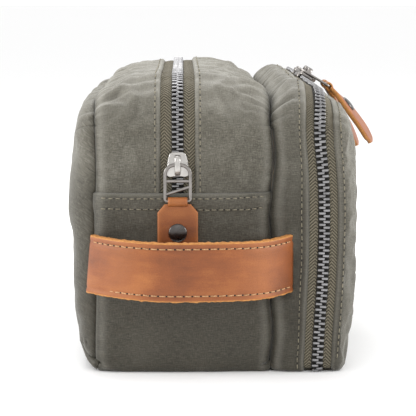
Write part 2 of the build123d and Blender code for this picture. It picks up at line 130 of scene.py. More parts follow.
class Shade:
    """One material under construction."""

    def __init__(self, name: str) -> None:
        """Start a material with an empty Principled shader.

        Args:
            name: the material's name.
        """
        self.material = bpy.data.materials.new(name)
        self.material.use_nodes = True
        self.tree = self.material.node_tree
        self.surface = self.tree.nodes["Principled BSDF"]

    def node(self, kind: str, settings: Optional[dict] = None, inputs: Optional[dict] = None,
             output: object = 0) -> Wire:
        """Add any node.

        Args:
            kind: the node's type name.
            settings: its properties, set before its sockets. "stops" fills a colour ramp.
            inputs: values or Wires for its sockets, by name or number.
            output: which output to return.

        Returns:
            The chosen output.
        """
        made = self.tree.nodes.new(kind)
        for key, value in (settings or {}).items():
            if key == "stops":
                ramp = made.color_ramp
                while len(ramp.elements) < len(value):
                    ramp.elements.new(0.5)
                for element, (place, colour) in zip(ramp.elements, value):
                    element.position = place
                    element.color = (*colour, 1.0)
            else:
                setattr(made, key, value)
        for key, value in (inputs or {}).items():
            self.plug(made.inputs[key], value)
        return Wire(self, made.outputs[output])

    def plug(self, socket: bpy.types.NodeSocket, value: object) -> None:
        """Give a socket a value or link a Wire to it."""
        if isinstance(value, Wire):
            self.tree.links.new(value.socket, socket)
        elif isinstance(value, tuple) and len(value) == 3 and socket.type == "RGBA":
            socket.default_value = (*value, 1.0)
        else:
            socket.default_value = value

    def attribute(self, name: str, output: str = "Fac") -> Wire:
        """A named attribute of the mesh."""
        return self.node("ShaderNodeAttribute", {"attribute_name": name}, output=output)

    def noise(self, vector: Wire, scale: float, detail: float = 3.0, rough: float = 0.55) -> Wire:
        """Fractal noise between 0 and 1."""
        return self.node("ShaderNodeTexNoise", inputs={
            "Vector": vector, "Scale": scale, "Detail": detail, "Roughness": rough}, output="Fac")

    def stretched(self, vector: Wire, scale: tuple[float, float, float]) -> Wire:
        """A vector scaled by a different amount along each axis."""
        return self.node("ShaderNodeVectorMath", {"operation": "MULTIPLY"}, {0: vector, 1: scale})

    def ramp(self, factor: Wire, stops: Sequence[tuple[float, tuple[float, float, float]]]) -> Wire:
        """A colour ramp."""
        return self.node("ShaderNodeValToRGB", {"stops": stops}, {"Fac": factor})

    def blend(self, factor: object, first: object, second: object, mode: str = "MIX") -> Wire:
        """Mix two colours."""
        return self.node("ShaderNodeMix", {"data_type": "RGBA", "blend_type": mode, "clamp_factor": True},
                         {0: factor, 6: first, 7: second}, output=2)

    def split(self, vector: Wire) -> tuple[Wire, Wire]:
        """The first two components of a vector."""
        parts = self.node("ShaderNodeSeparateXYZ", inputs={0: vector}).socket.node
        return Wire(self, parts.outputs[0]), Wire(self, parts.outputs[1])

    def bump(self, height: Wire, distance: float, strength: float = 1.0) -> Wire:
        """A bump from a height, in metres of distance."""
        return self.node("ShaderNodeBump", inputs={
            "Height": height, "Distance": distance, "Strength": strength}, output="Normal")

    def finish(self, **sockets: object) -> bpy.types.Material:
        """Set the Principled sockets and hand over the material.

        Args:
            **sockets: values or Wires, by socket name with underscores for spaces.

        Returns:
            The finished material.
        """
        for key, value in sockets.items():
            self.plug(self.surface.inputs[key.replace("_", " ")], value)
        return self.material


Colour = tuple[float, float, float]


@dataclass(frozen=True)
class WaxedCanvas:
    """Waxed cotton canvas: fine weave, slubs, pale rubbed folds, painted light on the top, painted shade low
    down and in seam crevices, and a low grazing sheen.
    """

    name: str = "waxed_canvas"
    deep: Colour = (0.050, 0.045, 0.032)
    body: Colour = (0.132, 0.122, 0.094)
    rubbed: Colour = (0.262, 0.250, 0.214)
    # Tint multiplied into the canvas where painted shade is laid.
    shade_tint: Colour = (0.34, 0.325, 0.285)
    thread: float = 0.62

    def material(self) -> bpy.types.Material:
        """Build the canvas material."""
        s = Shade(self.name)
        cloth = s.attribute("cloth", "Vector")
        wear = s.attribute("wear")
        turn = 2 * math.pi / self.thread
        across, down = s.split(cloth)
        weave = (across * turn).sine() * (down * turn).sine()
        warp_slub = s.noise(s.stretched(cloth, (2.6, 0.30, 1.0)), 1.0, 2.0)
        weft_slub = s.noise(s.stretched(cloth, (0.30, 2.6, 1.0)), 1.0, 2.0)
        grain = s.noise(cloth, 1.3, 4.0, 0.75)
        blotch = s.noise(cloth, 0.035, 3.0)
        tone = 0.60 * warp_slub + 0.85 * weft_slub + 0.95 * grain - 0.70 + 0.5 * (blotch - 0.5)
        tone = (tone + 0.05 * weave).clipped()
        base = s.ramp(tone, [(0.18, self.deep), (0.52, self.body), (0.92, self.rubbed)])
        # Rubbed wear lightens the canvas along seams and folds; where the wear value is raised on the tops,
        # it is painted light.
        wear_and_top_light = (wear * (0.55 + 0.9 * grain) + 0.12 * (blotch - 0.5)).clipped()
        # Painted shade: low down, in shaded recesses and in seam crevices the canvas is multiplied towards
        # the shade tint.
        low = s.attribute("dusk")
        shaded_base = s.blend(1.0, base, self.shade_tint, "MULTIPLY")
        shaded_canvas = s.blend((low * (0.85 + 0.3 * blotch)).clipped(), base, shaded_base)
        colour = s.blend(wear_and_top_light, shaded_canvas, self.rubbed)
        height = 0.45 * weft_slub + 0.35 * warp_slub + 0.5 * grain + 0.12 * weave
        return s.finish(Base_Color=colour, Roughness=0.52 + 0.16 * grain, Normal=s.bump(height, 0.00035, 0.8),
                        Sheen_Weight=0.25, Sheen_Roughness=0.45, Sheen_Tint=(0.9, 0.9, 0.86),
                        Specular_IOR_Level=0.42)


@dataclass(frozen=True)
class TwillTape:
    """Herringbone cotton tape of the zips."""

    name: str = "zip_tape_twill"
    dark: Colour = (0.032, 0.028, 0.018)
    light: Colour = (0.290, 0.255, 0.180)

    def material(self) -> bpy.types.Material:
        """Build the tape material."""
        s = Shade(self.name)
        cloth = s.attribute("cloth", "Vector")
        across, down = s.split(cloth)
        zigzag = s.node("ShaderNodeMath", {"operation": "PINGPONG"}, {0: across, 1: 4.0})
        rib = ((down + zigzag) * (2 * math.pi / 1.65)).sine() * 0.5 + 0.5
        grain = s.noise(cloth, 1.9, 4.0, 0.7)
        tone = (0.55 * rib + 1.0 * grain - 0.34).clipped()
        colour = s.ramp(tone, [(0.1, self.dark), (0.9, self.light)])
        return s.finish(Base_Color=colour, Roughness=0.85, Normal=s.bump(tone, 0.0005, 1.0))


@dataclass(frozen=True)
class TannedLeather:
    """Oiled tan leather with pull-up: paler where it bends and along its edges."""

    name: str = "tan_leather"
    deep: Colour = (0.150, 0.040, 0.010)
    body: Colour = (0.248, 0.068, 0.014)
    pale: Colour = (0.415, 0.145, 0.034)
    roughness: float = 0.44

    def material(self) -> bpy.types.Material:
        """Build the leather material."""
        s = Shade(self.name)
        hide = s.attribute("cloth", "Vector")
        wear = s.attribute("wear")
        cloud = s.noise(hide, 0.045, 4.0, 0.6)
        streak = s.noise(s.stretched(hide, (0.05, 0.25, 1.0)), 1.0, 4.0, 0.6)
        pore = s.noise(hide, 1.7, 4.0, 0.65)
        crease = s.node("ShaderNodeTexVoronoi", {"feature": "DISTANCE_TO_EDGE"},
                        {"Vector": s.stretched(hide, (0.55, 0.85, 1.0)), "Scale": 1.0}, output="Distance")
        tone = (0.62 * cloud + 0.38 * streak + 0.30 * (pore - 0.5)).clipped()
        base = s.ramp(tone, [(0.30, self.deep), (0.52, self.body), (0.80, self.pale)])
        colour = s.blend((wear * (0.6 + 0.6 * pore)).clipped(), base, self.pale)
        height = 0.6 * pore + 0.7 * crease.clipped()
        return s.finish(Base_Color=colour, Roughness=self.roughness + 0.18 * (pore - 0.5),
                        Normal=s.bump(height, 0.00022, 0.55), Specular_IOR_Level=0.45)


@dataclass(frozen=True)
class CutEdge:
    """The raw edge of a leather strap: fibrous and pale orange."""

    name: str = "leather_cut_edge"
    deep: Colour = (0.30, 0.105, 0.024)
    pale: Colour = (0.66, 0.30, 0.075)

    def material(self) -> bpy.types.Material:
        """Build the edge material."""
        s = Shade(self.name)
        hide = s.attribute("cloth", "Vector")
        fibre = s.noise(s.stretched(hide, (0.5, 2.4, 2.4)), 1.0, 4.0, 0.7)
        colour = s.ramp(fibre, [(0.3, self.deep), (0.7, self.pale)])
        return s.finish(Base_Color=colour, Roughness=0.72, Normal=s.bump(fibre, 0.0003, 0.8))


@dataclass(frozen=True)
class CastMetal:
    """Plated die-cast metal with fine handling marks."""

    name: str
    colour: Colour
    dull: Colour
    roughness: float

    def material(self) -> bpy.types.Material:
        """Build the metal material."""
        s = Shade(self.name)
        place = s.node("ShaderNodeTexCoord", output="Object")
        mark = s.noise(place, 420.0, 4.0, 0.7)
        cloud = s.noise(place, 90.0, 2.0)
        colour = s.blend((mark * 0.7 + 0.5 * cloud - 0.15).clipped(), self.dull, self.colour)
        return s.finish(Base_Color=colour, Metallic=1.0, Roughness=self.roughness + 0.16 * (mark - 0.5),
                        Normal=s.bump(mark, 0.00006, 0.5))


@dataclass(frozen=True)
class SewingThread:
    """Twisted sewing thread."""

    name: str
    colour: Colour
    shadow: Colour

    def material(self) -> bpy.types.Material:
        """Build the thread material."""
        s = Shade(self.name)
        place = s.node("ShaderNodeTexCoord", output="Object")
        twist = s.noise(place, 1500.0, 2.0)
        return s.finish(Base_Color=s.ramp(twist, [(0.3, self.shadow), (0.65, self.colour)]),
                        Roughness=0.7, Normal=s.bump(twist, 0.0001, 0.6))


@dataclass(frozen=True)
class PlainCloth:
    """Matte woven lining."""

    name: str
    light: Colour
    dark: Colour

    def material(self) -> bpy.types.Material:
        """Build the lining material."""
        s = Shade(self.name)
        cloth = s.attribute("cloth", "Vector")
        grain = s.noise(cloth, 1.1, 4.0, 0.65)
        cloud = s.noise(cloth, 0.05, 2.0)
        tone = (0.7 * grain + 0.5 * cloud - 0.1).clipped()
        return s.finish(Base_Color=s.ramp(tone, [(0.25, self.dark), (0.75, self.light)]),
                        Roughness=0.88, Normal=s.bump(grain, 0.0003, 0.7))


class Finish(Enum):
    """The finishes used on the bag."""

    CANVAS = WaxedCanvas()
    TAPE = TwillTape()
    LEATHER = TannedLeather()
    LEATHER_EDGE = CutEdge()
    TEETH = CastMetal("teeth_gunmetal", (0.46, 0.455, 0.46), (0.10, 0.098, 0.10), 0.30)
    ANTIQUE = CastMetal("pull_antique_nickel", (0.42, 0.395, 0.375), (0.13, 0.12, 0.11), 0.36)
    # Near-black bed under the zip teeth: painted shade in the gaps between them.
    CHAIN_BED = PlainCloth("chain_bed_painted_shade", (0.022, 0.020, 0.016), (0.010, 0.009, 0.008))
    NICKEL = CastMetal("slider_nickel", (0.66, 0.64, 0.61), (0.30, 0.285, 0.27), 0.30)
    RIVET = CastMetal("rivet_gunmetal", (0.15, 0.14, 0.135), (0.05, 0.046, 0.044), 0.28)
    KHAKI_THREAD = SewingThread("khaki_thread", (0.30, 0.27, 0.19), (0.12, 0.105, 0.075))
    CREAM_THREAD = SewingThread("cream_thread", (0.60, 0.36, 0.18), (0.30, 0.15, 0.06))
    HOLE = SewingThread("needle_hole", (0.012, 0.010, 0.008), (0.006, 0.005, 0.004))
    LINING = PlainCloth("lining_twill", (0.30, 0.25, 0.18), (0.17, 0.14, 0.10))

    def made(self) -> bpy.types.Material:
        """The finish's material, made once."""
        return bpy.data.materials.get(self.value.name) or self.value.material()


# ---------------------------------------------------------------- mesh kit


@dataclass
class Mould:
    """Vertices in millimetres, faces and what the finish needs, gathered before they become a mesh."""

    points: list = field(default_factory=list)
    faces: list = field(default_factory=list)
    slots: list = field(default_factory=list)
    cloth: list = field(default_factory=list)
    wear: list = field(default_factory=list)
    # Painted shade of each vertex: darker low down, in shaded recesses and in seam crevices.
    dusk: list = field(default_factory=list)
    count: int = 0
    # Painted shade added to every vertex of a piece that sits in shade.
    shade_offset: float = 0.0

    def add(self, points: np.ndarray, faces: Sequence[Sequence[int]], slot: int | Sequence[int] = 0,
            cloth: Optional[np.ndarray] = None, wear: Optional[np.ndarray] = None) -> None:
        """Add one closed set of faces.

        Args:
            points: vertices, one row each.
            faces: vertex numbers of each face, counted within points.
            slot: material slot of the faces, or of each face.
            cloth: flat cloth coordinates of the vertices; their own places if left out.
            wear: how rubbed each vertex is, from 0 to 1, with painted light on the tops of some pieces; below
                0 it is painted shade in a seam crevice instead.
        """
        points = np.asarray(points, float).reshape(-1, 3)
        self.points.append(points)
        self.faces += [tuple(int(i) + self.count for i in face) for face in faces]
        self.slots += [slot] * len(faces) if isinstance(slot, int) else list(slot)
        self.cloth.append(points if cloth is None else np.asarray(cloth, float).reshape(-1, 3))
        rubbed = np.zeros(len(points)) if wear is None else np.asarray(wear, float).ravel()
        self.wear.append(np.maximum(rubbed, 0.0))
        # Painted shade: the canvas is coloured darker towards the floor, standing in for the light that falls
        # from above.
        height_shade = np.interp(points[:, 2], [0, 45, 88, 100, 128, 146], [1.0, 0.85, 0.62, 0.30, 0.12, 0.0])
        self.dusk.append(height_shade + self.shade_offset + np.maximum(-rubbed, 0.0))
        self.count += len(points)

    def cast(self, name: str, finishes: Sequence[Finish], smooth: bool = True) -> bpy.types.Object:
        """Turn the mould into an object.

        Args:
            name: the piece's name.
            finishes: its finishes, one for each material slot.
            smooth: whether its faces are shaded smooth.

        Returns:
            The new object, in metres in the bag's frame.
        """
        mesh = bpy.data.meshes.new(name)
        mesh.from_pydata((np.concatenate(self.points) * MM).tolist(), [], self.faces)
        for finish in finishes:
            mesh.materials.append(finish.made())
        mesh.polygons.foreach_set("material_index", self.slots)
        mesh.polygons.foreach_set("use_smooth", [smooth] * len(mesh.polygons))
        flat = mesh.attributes.new("cloth", "FLOAT_VECTOR", "POINT")
        flat.data.foreach_set("vector", np.concatenate(self.cloth).astype(np.float32).ravel())
        rubbed = mesh.attributes.new("wear", "FLOAT", "POINT")
        rubbed.data.foreach_set("value", np.concatenate(self.wear).astype(np.float32))
        # Painted shade of each vertex, which the canvas finish darkens by.
        low = mesh.attributes.new("dusk", "FLOAT", "POINT")
        low.data.foreach_set("value", np.concatenate(self.dusk).astype(np.float32))
        mesh.validate()
        mesh.update()
        piece = bpy.data.objects.new(name, mesh)
        bpy.context.scene.collection.objects.link(piece)
        return piece


def places(*axes: np.ndarray | float) -> np.ndarray:
    """Coordinates of one axis each, gathered into points with a last axis of 3."""
    return np.stack(np.broadcast_arrays(*[np.asarray(axis, float) for axis in axes]), -1)


def grid_faces(rows: int, cols: int, start: int = 0, flip: bool = False, loop: bool = False) -> list:
    """Quads of a grid of vertices, numbered row by row.

    Args:
        rows: number of rows.
        cols: number of columns.
        start: number of the first vertex.
        flip: turn the faces over.
        loop: join the last row to the first.

    Returns:
        The faces.
    """
    faces = []
    for r in range(rows if loop else rows - 1):
        low, high = start + r * cols, start + (r + 1) % rows * cols
        for c in range(cols - 1):
            quad = (low + c, low + c + 1, high + c + 1, high + c)
            faces.append(quad[::-1] if flip else quad)
    return faces


def unit(vectors: np.ndarray) -> np.ndarray:
    """Vectors scaled to length one."""
    return vectors / np.maximum(np.linalg.norm(vectors, axis=-1, keepdims=True), 1e-9)


def grid_normals(points: np.ndarray, loop: bool = False) -> np.ndarray:
    """Normals of a grid of points, rows along its length and columns across it."""
    if loop:
        wrapped = np.concatenate([points[-1:], points, points[:1]])
        down = np.gradient(wrapped, axis=0)[1:-1]
    else:
        down = np.gradient(points, axis=0)
    return unit(np.cross(np.gradient(points, axis=1), down))


def add_sheet(mould: Mould, outer: np.ndarray, thick: float, cloth: np.ndarray, slot: int = 0,
              wear: Optional[np.ndarray] = None, flip: bool = False, loop: bool = False,
              rim: Optional[int] = None, pole: Optional[int] = None, facing: float = 1.0) -> None:
    """Add a sheet with real thickness, closed round its border.

    Args:
        mould: where it goes.
        outer: grid of points of the outer face, rows by columns by 3.
        thick: thickness, inwards.
        cloth: flat cloth coordinates of the grid.
        slot: material slot.
        wear: how rubbed each point is.
        flip: the grid's normals point inwards.
        loop: the last row joins the first.
        rim: material slot of the border, the same as the face's if left out.
        pole: column where a looped sheet closes on itself, 0 or -1.
        facing: which way along X the sheet faces at its pole.
    """
    rows, cols = outer.shape[:2]
    normals = grid_normals(outer, loop) * (-1 if flip else 1)
    if pole is not None:
        normals[:, pole] = (facing, 0.0, 0.0)
    inner = outer - normals * thick
    size = rows * cols
    faces = grid_faces(rows, cols, 0, flip, loop) + grid_faces(rows, cols, size, not flip, loop)
    border = [(c, c + 1) for c in range(cols - 1)] + [((rows - 1) * cols + c + 1, (rows - 1) * cols + c)
                                                      for c in range(cols - 1)]
    if loop:
        border = []
    span = rows if loop else rows - 1
    for r in range(span):
        low, high = r * cols, (r + 1) % rows * cols
        border += [(high, low)] if pole != 0 else []
        border += [(low + cols - 1, high + cols - 1)] if pole != -1 else []
    slots = [slot] * len(faces) + [slot if rim is None else rim] * len(border)
    for a, b in border:
        quad = (b, a, a + size, b + size)
        faces.append(quad[::-1] if flip else quad)
    both = np.concatenate([cloth.reshape(-1, 3)] * 2)
    rubbed = np.zeros(size) if wear is None else wear.ravel()
    mould.add(np.concatenate([outer.reshape(-1, 3), inner.reshape(-1, 3)]), faces, slots, both,
              np.concatenate([rubbed, rubbed * 0]))


def weld(piece: bpy.types.Object) -> None:
    """Join the vertices that meet in the middle of a ringed sheet and turn its faces outwards."""
    shape = bmesh.new()
    shape.from_mesh(piece.data)
    bmesh.ops.remove_doubles(shape, verts=shape.verts[:], dist=0.02 * MM)
    bmesh.ops.recalc_face_normals(shape, faces=shape.faces[:])
    shape.to_mesh(piece.data)
    shape.free()
    piece.data.update()


def cloth_places(piece: bpy.types.Object) -> np.ndarray:
    """Flat cloth coordinates of a piece's vertices."""
    flat = np.zeros(len(piece.data.vertices) * 3, np.float32)
    piece.data.attributes["cloth"].data.foreach_get("vector", flat)
    return flat.reshape(-1, 3)


def add_copies(mould: Mould, shape: tuple[np.ndarray, list], frames: np.ndarray, slot: int = 0) -> None:
    """Add one shape many times.

    Args:
        mould: where they go.
        shape: the shape's points and faces.
        frames: one 4 by 3 block each: the three axes, then the place.
        slot: material slot.
    """
    points, faces = shape
    for block in frames:
        mould.add(points @ block[:3] + block[3], faces, slot)


def rounded_box(size: Sequence[float], radius: float, steps: int = 2) -> tuple[np.ndarray, list]:
    """A box with rounded edges.

    Args:
        size: its three sides.
        radius: of its edges.
        steps: segments of each rounded edge.

    Returns:
        Points and faces.
    """
    shape = bmesh.new()
    bmesh.ops.create_cube(shape, size=1.0, matrix=Matrix.Diagonal((*size, 1.0)))
    bmesh.ops.bevel(shape, geom=shape.edges[:], offset=radius, segments=steps, profile=0.5, affect="EDGES")
    shape.verts.index_update()
    made = (np.array([v.co[:] for v in shape.verts]), [tuple(v.index for v in f.verts) for f in shape.faces])
    shape.free()
    return made


def slab(outline: Sequence[tuple[float, float]], low: float, high: float, bevel: float,
         steps: int = 3) -> tuple[np.ndarray, list]:
    """A plate cut to an outline, its upper and lower rims rounded.

    Args:
        outline: corners, anticlockwise.
        low: height of the lower face.
        high: height of the upper face.
        bevel: radius of the rims.
        steps: segments of each rim.

    Returns:
        Points and faces.
    """
    shape = bmesh.new()
    face = shape.faces.new([shape.verts.new((x, y, low)) for x, y in outline])
    bmesh.ops.recalc_face_normals(shape, faces=[face])
    lifted = bmesh.ops.extrude_face_region(shape, geom=[face])
    top = [v for v in lifted["geom"] if isinstance(v, bmesh.types.BMVert)]
    bmesh.ops.translate(shape, verts=top, vec=(0, 0, high - low))
    rims = [e for e in shape.edges if abs(e.verts[0].co.z - e.verts[1].co.z) < 1e-6]
    bmesh.ops.bevel(shape, geom=rims, offset=bevel, segments=steps, profile=0.5, affect="EDGES",
                    clamp_overlap=True)
    bmesh.ops.recalc_face_normals(shape, faces=shape.faces[:])
    shape.verts.index_update()
    made = (np.array([v.co[:] for v in shape.verts]), [tuple(v.index for v in f.verts) for f in shape.faces])
    shape.free()
    return made


def tube(route: np.ndarray, radius: float, sides: int = 12, flat: float = 1.0, closed: bool = False,
         up: Sequence[float] = (0, 0, 1)) -> tuple[np.ndarray, list]:
    """A round or flattened bar along a route.

    Args:
        route: points of its middle line.
        radius: half its width.
        sides: points round it.
        flat: thickness over width, measured along up.
        closed: the route joins its start.
        up: direction it is flattened along.

    Returns:
        Points and faces.
    """
    route = np.asarray(route, float)
    if closed:
        ahead = unit(np.roll(route, -1, 0) - np.roll(route, 1, 0))
    else:
        ahead = unit(np.gradient(route, axis=0))
    rise = np.asarray(up, float)
    side = unit(np.cross(ahead, rise))
    over = unit(np.cross(side, ahead))
    angles = np.linspace(0, 2 * math.pi, sides, endpoint=False)
    rings = (route[:, None] + side[:, None] * (np.cos(angles) * radius)[None, :, None]
             + over[:, None] * (np.sin(angles) * radius * flat)[None, :, None])
    count = len(route)
    faces = []
    for r in range(count if closed else count - 1):
        low, high = r * sides, (r + 1) % count * sides
        for c in range(sides):
            faces.append((low + c, low + (c + 1) % sides, high + (c + 1) % sides, high + c))
    if not closed:
        faces.append(tuple(range(sides))[::-1])
        faces.append(tuple(range((count - 1) * sides, count * sides)))
    return rings.reshape(-1, 3), [face[::-1] for face in faces]


def turned(profile: Sequence[tuple[float, float]], sides: int = 32) -> tuple[np.ndarray, list]:
    """A shape turned about the Z axis.

    Args:
        profile: radius and height of each ring, from the bottom middle to the top middle.
        sides: points round it.

    Returns:
        Points and faces.
    """
    angles = np.linspace(0, 2 * math.pi, sides, endpoint=False)
    points = [[0.0, 0.0, profile[0][1]]]
    for radius, height in profile[1:-1]:
        points += [[radius * math.cos(a), radius * math.sin(a), height] for a in angles]
    points.append([0.0, 0.0, profile[-1][1]])
    rings = len(profile) - 2
    faces = [(0, 1 + (c + 1) % sides, 1 + c) for c in range(sides)]
    for r in range(rings - 1):
        low, high = 1 + r * sides, 1 + (r + 1) * sides
        faces += [(low + c, low + (c + 1) % sides, high + (c + 1) % sides, high + c) for c in range(sides)]
    last = 1 + (rings - 1) * sides
    faces += [(last + c, last + (c + 1) % sides, len(points) - 1) for c in range(sides)]
    return np.array(points), faces


@dataclass
class Ripple:
    """Smooth seeded noise: a sum of plane waves over flat cloth coordinates."""

    seed: int
    across: float
    along: float
    waves: int = 14

    def __post_init__(self) -> None:
        """Draw the waves."""
        draw = np.random.default_rng(self.seed)
        angle = draw.uniform(0, 2 * math.pi, self.waves)
        pace = draw.uniform(0.6, 1.5, self.waves) * 2 * math.pi
        self.kx = np.cos(angle) * pace / self.across
        self.kt = np.sin(angle) * pace / self.along
        self.phase = draw.uniform(0, 2 * math.pi, self.waves)

    def at(self, x: np.ndarray, t: np.ndarray) -> np.ndarray:
        """The noise, about -1 to 1.

        Args:
            x: first coordinate.
            t: second coordinate.

        Returns:
            The value at each place.
        """
        x, t = np.broadcast_arrays(np.asarray(x, float), np.asarray(t, float))
        total = np.sin(x[..., None] * self.kx + t[..., None] * self.kt + self.phase).sum(-1)
        return total / math.sqrt(self.waves / 2) / 1.6


def near(value: np.ndarray, place: float, width: float) -> np.ndarray:
    """A bell that is 1 at place and fades over width."""
    return np.exp(-(((value - place) / width) ** 2))


def ease(value: np.ndarray) -> np.ndarray:
    """Smooth step from 0 to 1."""
    value = np.clip(value, 0.0, 1.0)
    return value * value * (3 - 2 * value)


# ---------------------------------------------------------------- the bag's form


@dataclass
class Ring:
    """The lengthwise outline that both gusset bands follow, measured along it.

    Stations run up the near end, over the top, down the far end and back under the base. On the near
    end a station is the height above the floor.
    """

    half_length: float
    bend_z: float = 120.0
    reach: float = 26.0
    foot: float = 9.0

    def __post_init__(self) -> None:
        """Work out where each stretch starts."""
        arc = self.reach * math.pi / 2
        foot_arc = self.foot * math.pi / 2
        side = self.bend_z - self.foot
        lengths = (side, arc, 2 * (self.half_length - self.reach), arc, side, foot_arc,
                   2 * (self.half_length - self.foot), foot_arc)
        self.marks = np.concatenate([[0.0], np.cumsum(lengths)]) + self.foot
        self.total = float(self.marks[-1] - self.foot)
        self.top_middle = float(self.marks[2] + self.marks[3]) / 2
        self.base_middle = float(self.marks[6] + self.marks[7]) / 2

    def far(self, station: float) -> float:
        """The station on the far end that mirrors one on the near end."""
        return 2 * self.top_middle - station

    def place(self, t: np.ndarray, top: np.ndarray) -> tuple[np.ndarray, np.ndarray]:
        """Y and Z of stations.

        Args:
            t: stations.
            top: height of the top at each station's X.

        Returns:
            Y and Z.
        """
        t, top = np.broadcast_arrays(np.asarray(t, float), np.asarray(top, float))
        wrapped = (t - self.foot) % self.total + self.foot
        m = self.marks
        part = [np.clip((wrapped - m[i]) / (m[i + 1] - m[i]), 0, 1) for i in range(8)]
        quarter = math.pi / 2
        long, rise = self.half_length, top - self.bend_z
        inner, low = long - self.reach, long - self.foot
        ys = [-long + 0 * t, -inner - self.reach * np.cos(part[1] * quarter), inner * (2 * part[2] - 1),
              inner + self.reach * np.sin(part[3] * quarter), long + 0 * t,
              low + self.foot * np.cos(part[5] * quarter), low * (1 - 2 * part[6]),
              -low - self.foot * np.sin(part[7] * quarter)]
        zs = [self.foot + part[0] * (self.bend_z - self.foot), self.bend_z + rise * np.sin(part[1] * quarter),
              top, self.bend_z + rise * np.cos(part[3] * quarter),
              self.bend_z - part[4] * (self.bend_z - self.foot),
              self.foot * (1 - np.sin(part[5] * quarter)), 0 * t, self.foot * (1 - np.cos(part[7] * quarter))]
        stretch = [wrapped <= m[i + 1] for i in range(8)]
        return np.select(stretch, ys, ys[-1]), np.select(stretch, zs, zs[-1])


@dataclass
class Band:
    """A band of canvas round the bag: its shape, its seams and its wrinkles."""

    ring: Ring
    left: float
    right: float
    top: Callable[[np.ndarray], np.ndarray]
    calm: float
    seed: int
    recess: float = 2.6
    roll: float = 3.4
    roll_depth: float = 3.6
    wrinkle: float = 0.75
    crevice: float = 26.0
    wander: float = 1.15
    sway: Callable[[np.ndarray, np.ndarray], np.ndarray] = field(default=lambda x, z: 0.0 * z)
    soft_left: bool = True
    soft_right: bool = True
    seam_seed: int = 301

    def __post_init__(self) -> None:
        """Make the band's noises."""
        self.left_wobble = Ripple(self.seam_seed, 50.0, 52.0)
        self.right_wobble = Ripple(self.seam_seed + 1, 50.0, 52.0)
        self.wide = Ripple(self.seed, 62.0, 70.0)
        self.folds = Ripple(self.seed + 1, 75.0, 13.0)
        self.small = Ripple(self.seed + 2, 13.0, 11.0)
        self.pucker = Ripple(self.seed + 3, 30.0, 7.0)

    def swell(self, x: np.ndarray, t: np.ndarray) -> np.ndarray:
        """How far the canvas stands out from the plain form, from its wrinkles and puckers."""
        ring = self.ring
        low = (t - ring.foot) % ring.total + ring.foot
        on_top = ease((low - ring.marks[1] + 12) / 30) * (1 - ease((low - ring.marks[4] + 18) / 30))
        on_base = ease((low - ring.marks[5]) / 14) * (1 - ease((low - ring.marks[8] + 14) / 14))
        from_edge = np.minimum(np.where(self.soft_left, x - self.left, 99.0),
                               np.where(self.soft_right, self.right - x, 99.0))
        still = 1 - 0.85 * near(x, self.calm, 10.0)
        waves = 0.9 * self.wide.at(x, low) + self.folds.at(x, low) * (0.35 + 1.4 * on_top)
        waves += 0.30 * self.small.at(x, low)
        drawn = near(from_edge, 4.5, 9.0) * self.pucker.at(x, low) * (0.65 + 0.5 * on_top)
        return (waves * self.wrinkle * still + drawn) * (1 - on_base)

    def point(self, x: np.ndarray, t: np.ndarray) -> np.ndarray:
        """Points of the canvas's outer face.

        Args:
            x: place across the bag.
            t: station along the ring.

        Returns:
            The points, with a last axis of 3.
        """
        x, t = np.broadcast_arrays(np.asarray(x, float), np.asarray(t, float))
        top = self.top(x)
        y, z = self.ring.place(t, top)
        step = 0.5
        y2, z2 = self.ring.place(t + step, top)
        y1, z1 = self.ring.place(t - step, top)
        ahead = unit(np.stack([y2 - y1, z2 - z1], -1))
        out_y, out_z = -ahead[..., 1], ahead[..., 0]
        half = (self.right - self.left) / 2
        middle = (self.left + self.right) / 2
        lean = self.recess * np.abs((x - middle) / half) ** 2.4 * np.abs(out_y)
        edge = np.minimum(np.where(self.soft_left, x - self.left, 99.0),
                          np.where(self.soft_right, self.right - x, 99.0))
        turn = 1 - np.clip(edge, 0, self.roll) / self.roll
        dip = self.roll_depth * (1 - np.sqrt(np.clip(1 - turn ** 2, 0, 1)))
        dip = dip + self.crevice * np.clip(turn - 0.9, 0, 1)
        out = self.swell(x, t) - lean - dip * np.where(out_z < -0.5, 0.35, 1.0)
        y = y + out * out_y
        z = np.maximum(z + out * out_z, 0.35 + 0 * z)
        low = (t - self.ring.foot) % self.ring.total + self.ring.foot
        wobble = 0 * x
        for noise, seam, soft in ((self.left_wobble, self.left, self.soft_left),
                                  (self.right_wobble, self.right, self.soft_right)):
            wobble = wobble + self.wander * noise.at(0 * x, low) * near(x, seam, 11.0) * soft
        return np.stack([x + self.sway(x, z) * np.abs(out_y) + wobble, y, z], -1)

    def frame(self, x: np.ndarray, t: np.ndarray) -> np.ndarray:
        """Axes and places on the canvas.

        Args:
            x: places across the bag.
            t: stations.

        Returns:
            For each place the across, along and outward axes, then the point itself.
        """
        x, t = np.broadcast_arrays(np.asarray(x, float), np.asarray(t, float))
        step = 0.6
        along = unit(self.point(x, t + step) - self.point(x, t - step))
        across = self.point(x + step, t) - self.point(x - step, t)
        out = unit(np.cross(across, along))
        return np.stack([np.cross(along, out), along, out, self.point(x, t)], -2)

    def lifted(self, x: np.ndarray, t: np.ndarray, lift: float | np.ndarray) -> np.ndarray:
        """Points held a distance above the canvas's face."""
        frames = self.frame(x, t)
        lift = np.broadcast_to(np.asarray(lift, float), frames.shape[:-2])
        return frames[..., 3, :] + frames[..., 2, :] * lift[..., None]


def spread(low: float, high: float, pitch: float) -> np.ndarray:
    """Evenly spaced values from low to high, about pitch apart."""
    return np.linspace(low, high, max(2, int(round(abs(high - low) / pitch)) + 1))


def edge_spread(low: float, high: float, pitch: float, fine: float, margin: float) -> np.ndarray:
    """Values from low to high that are closer together near both ends."""
    left = np.arange(low, low + margin, fine)
    right = high - np.arange(0, margin, fine)[::-1]
    return np.concatenate([left, spread(low + margin, high - margin, pitch), right])


# ---------------------------------------------------------------- stitches and small shapes


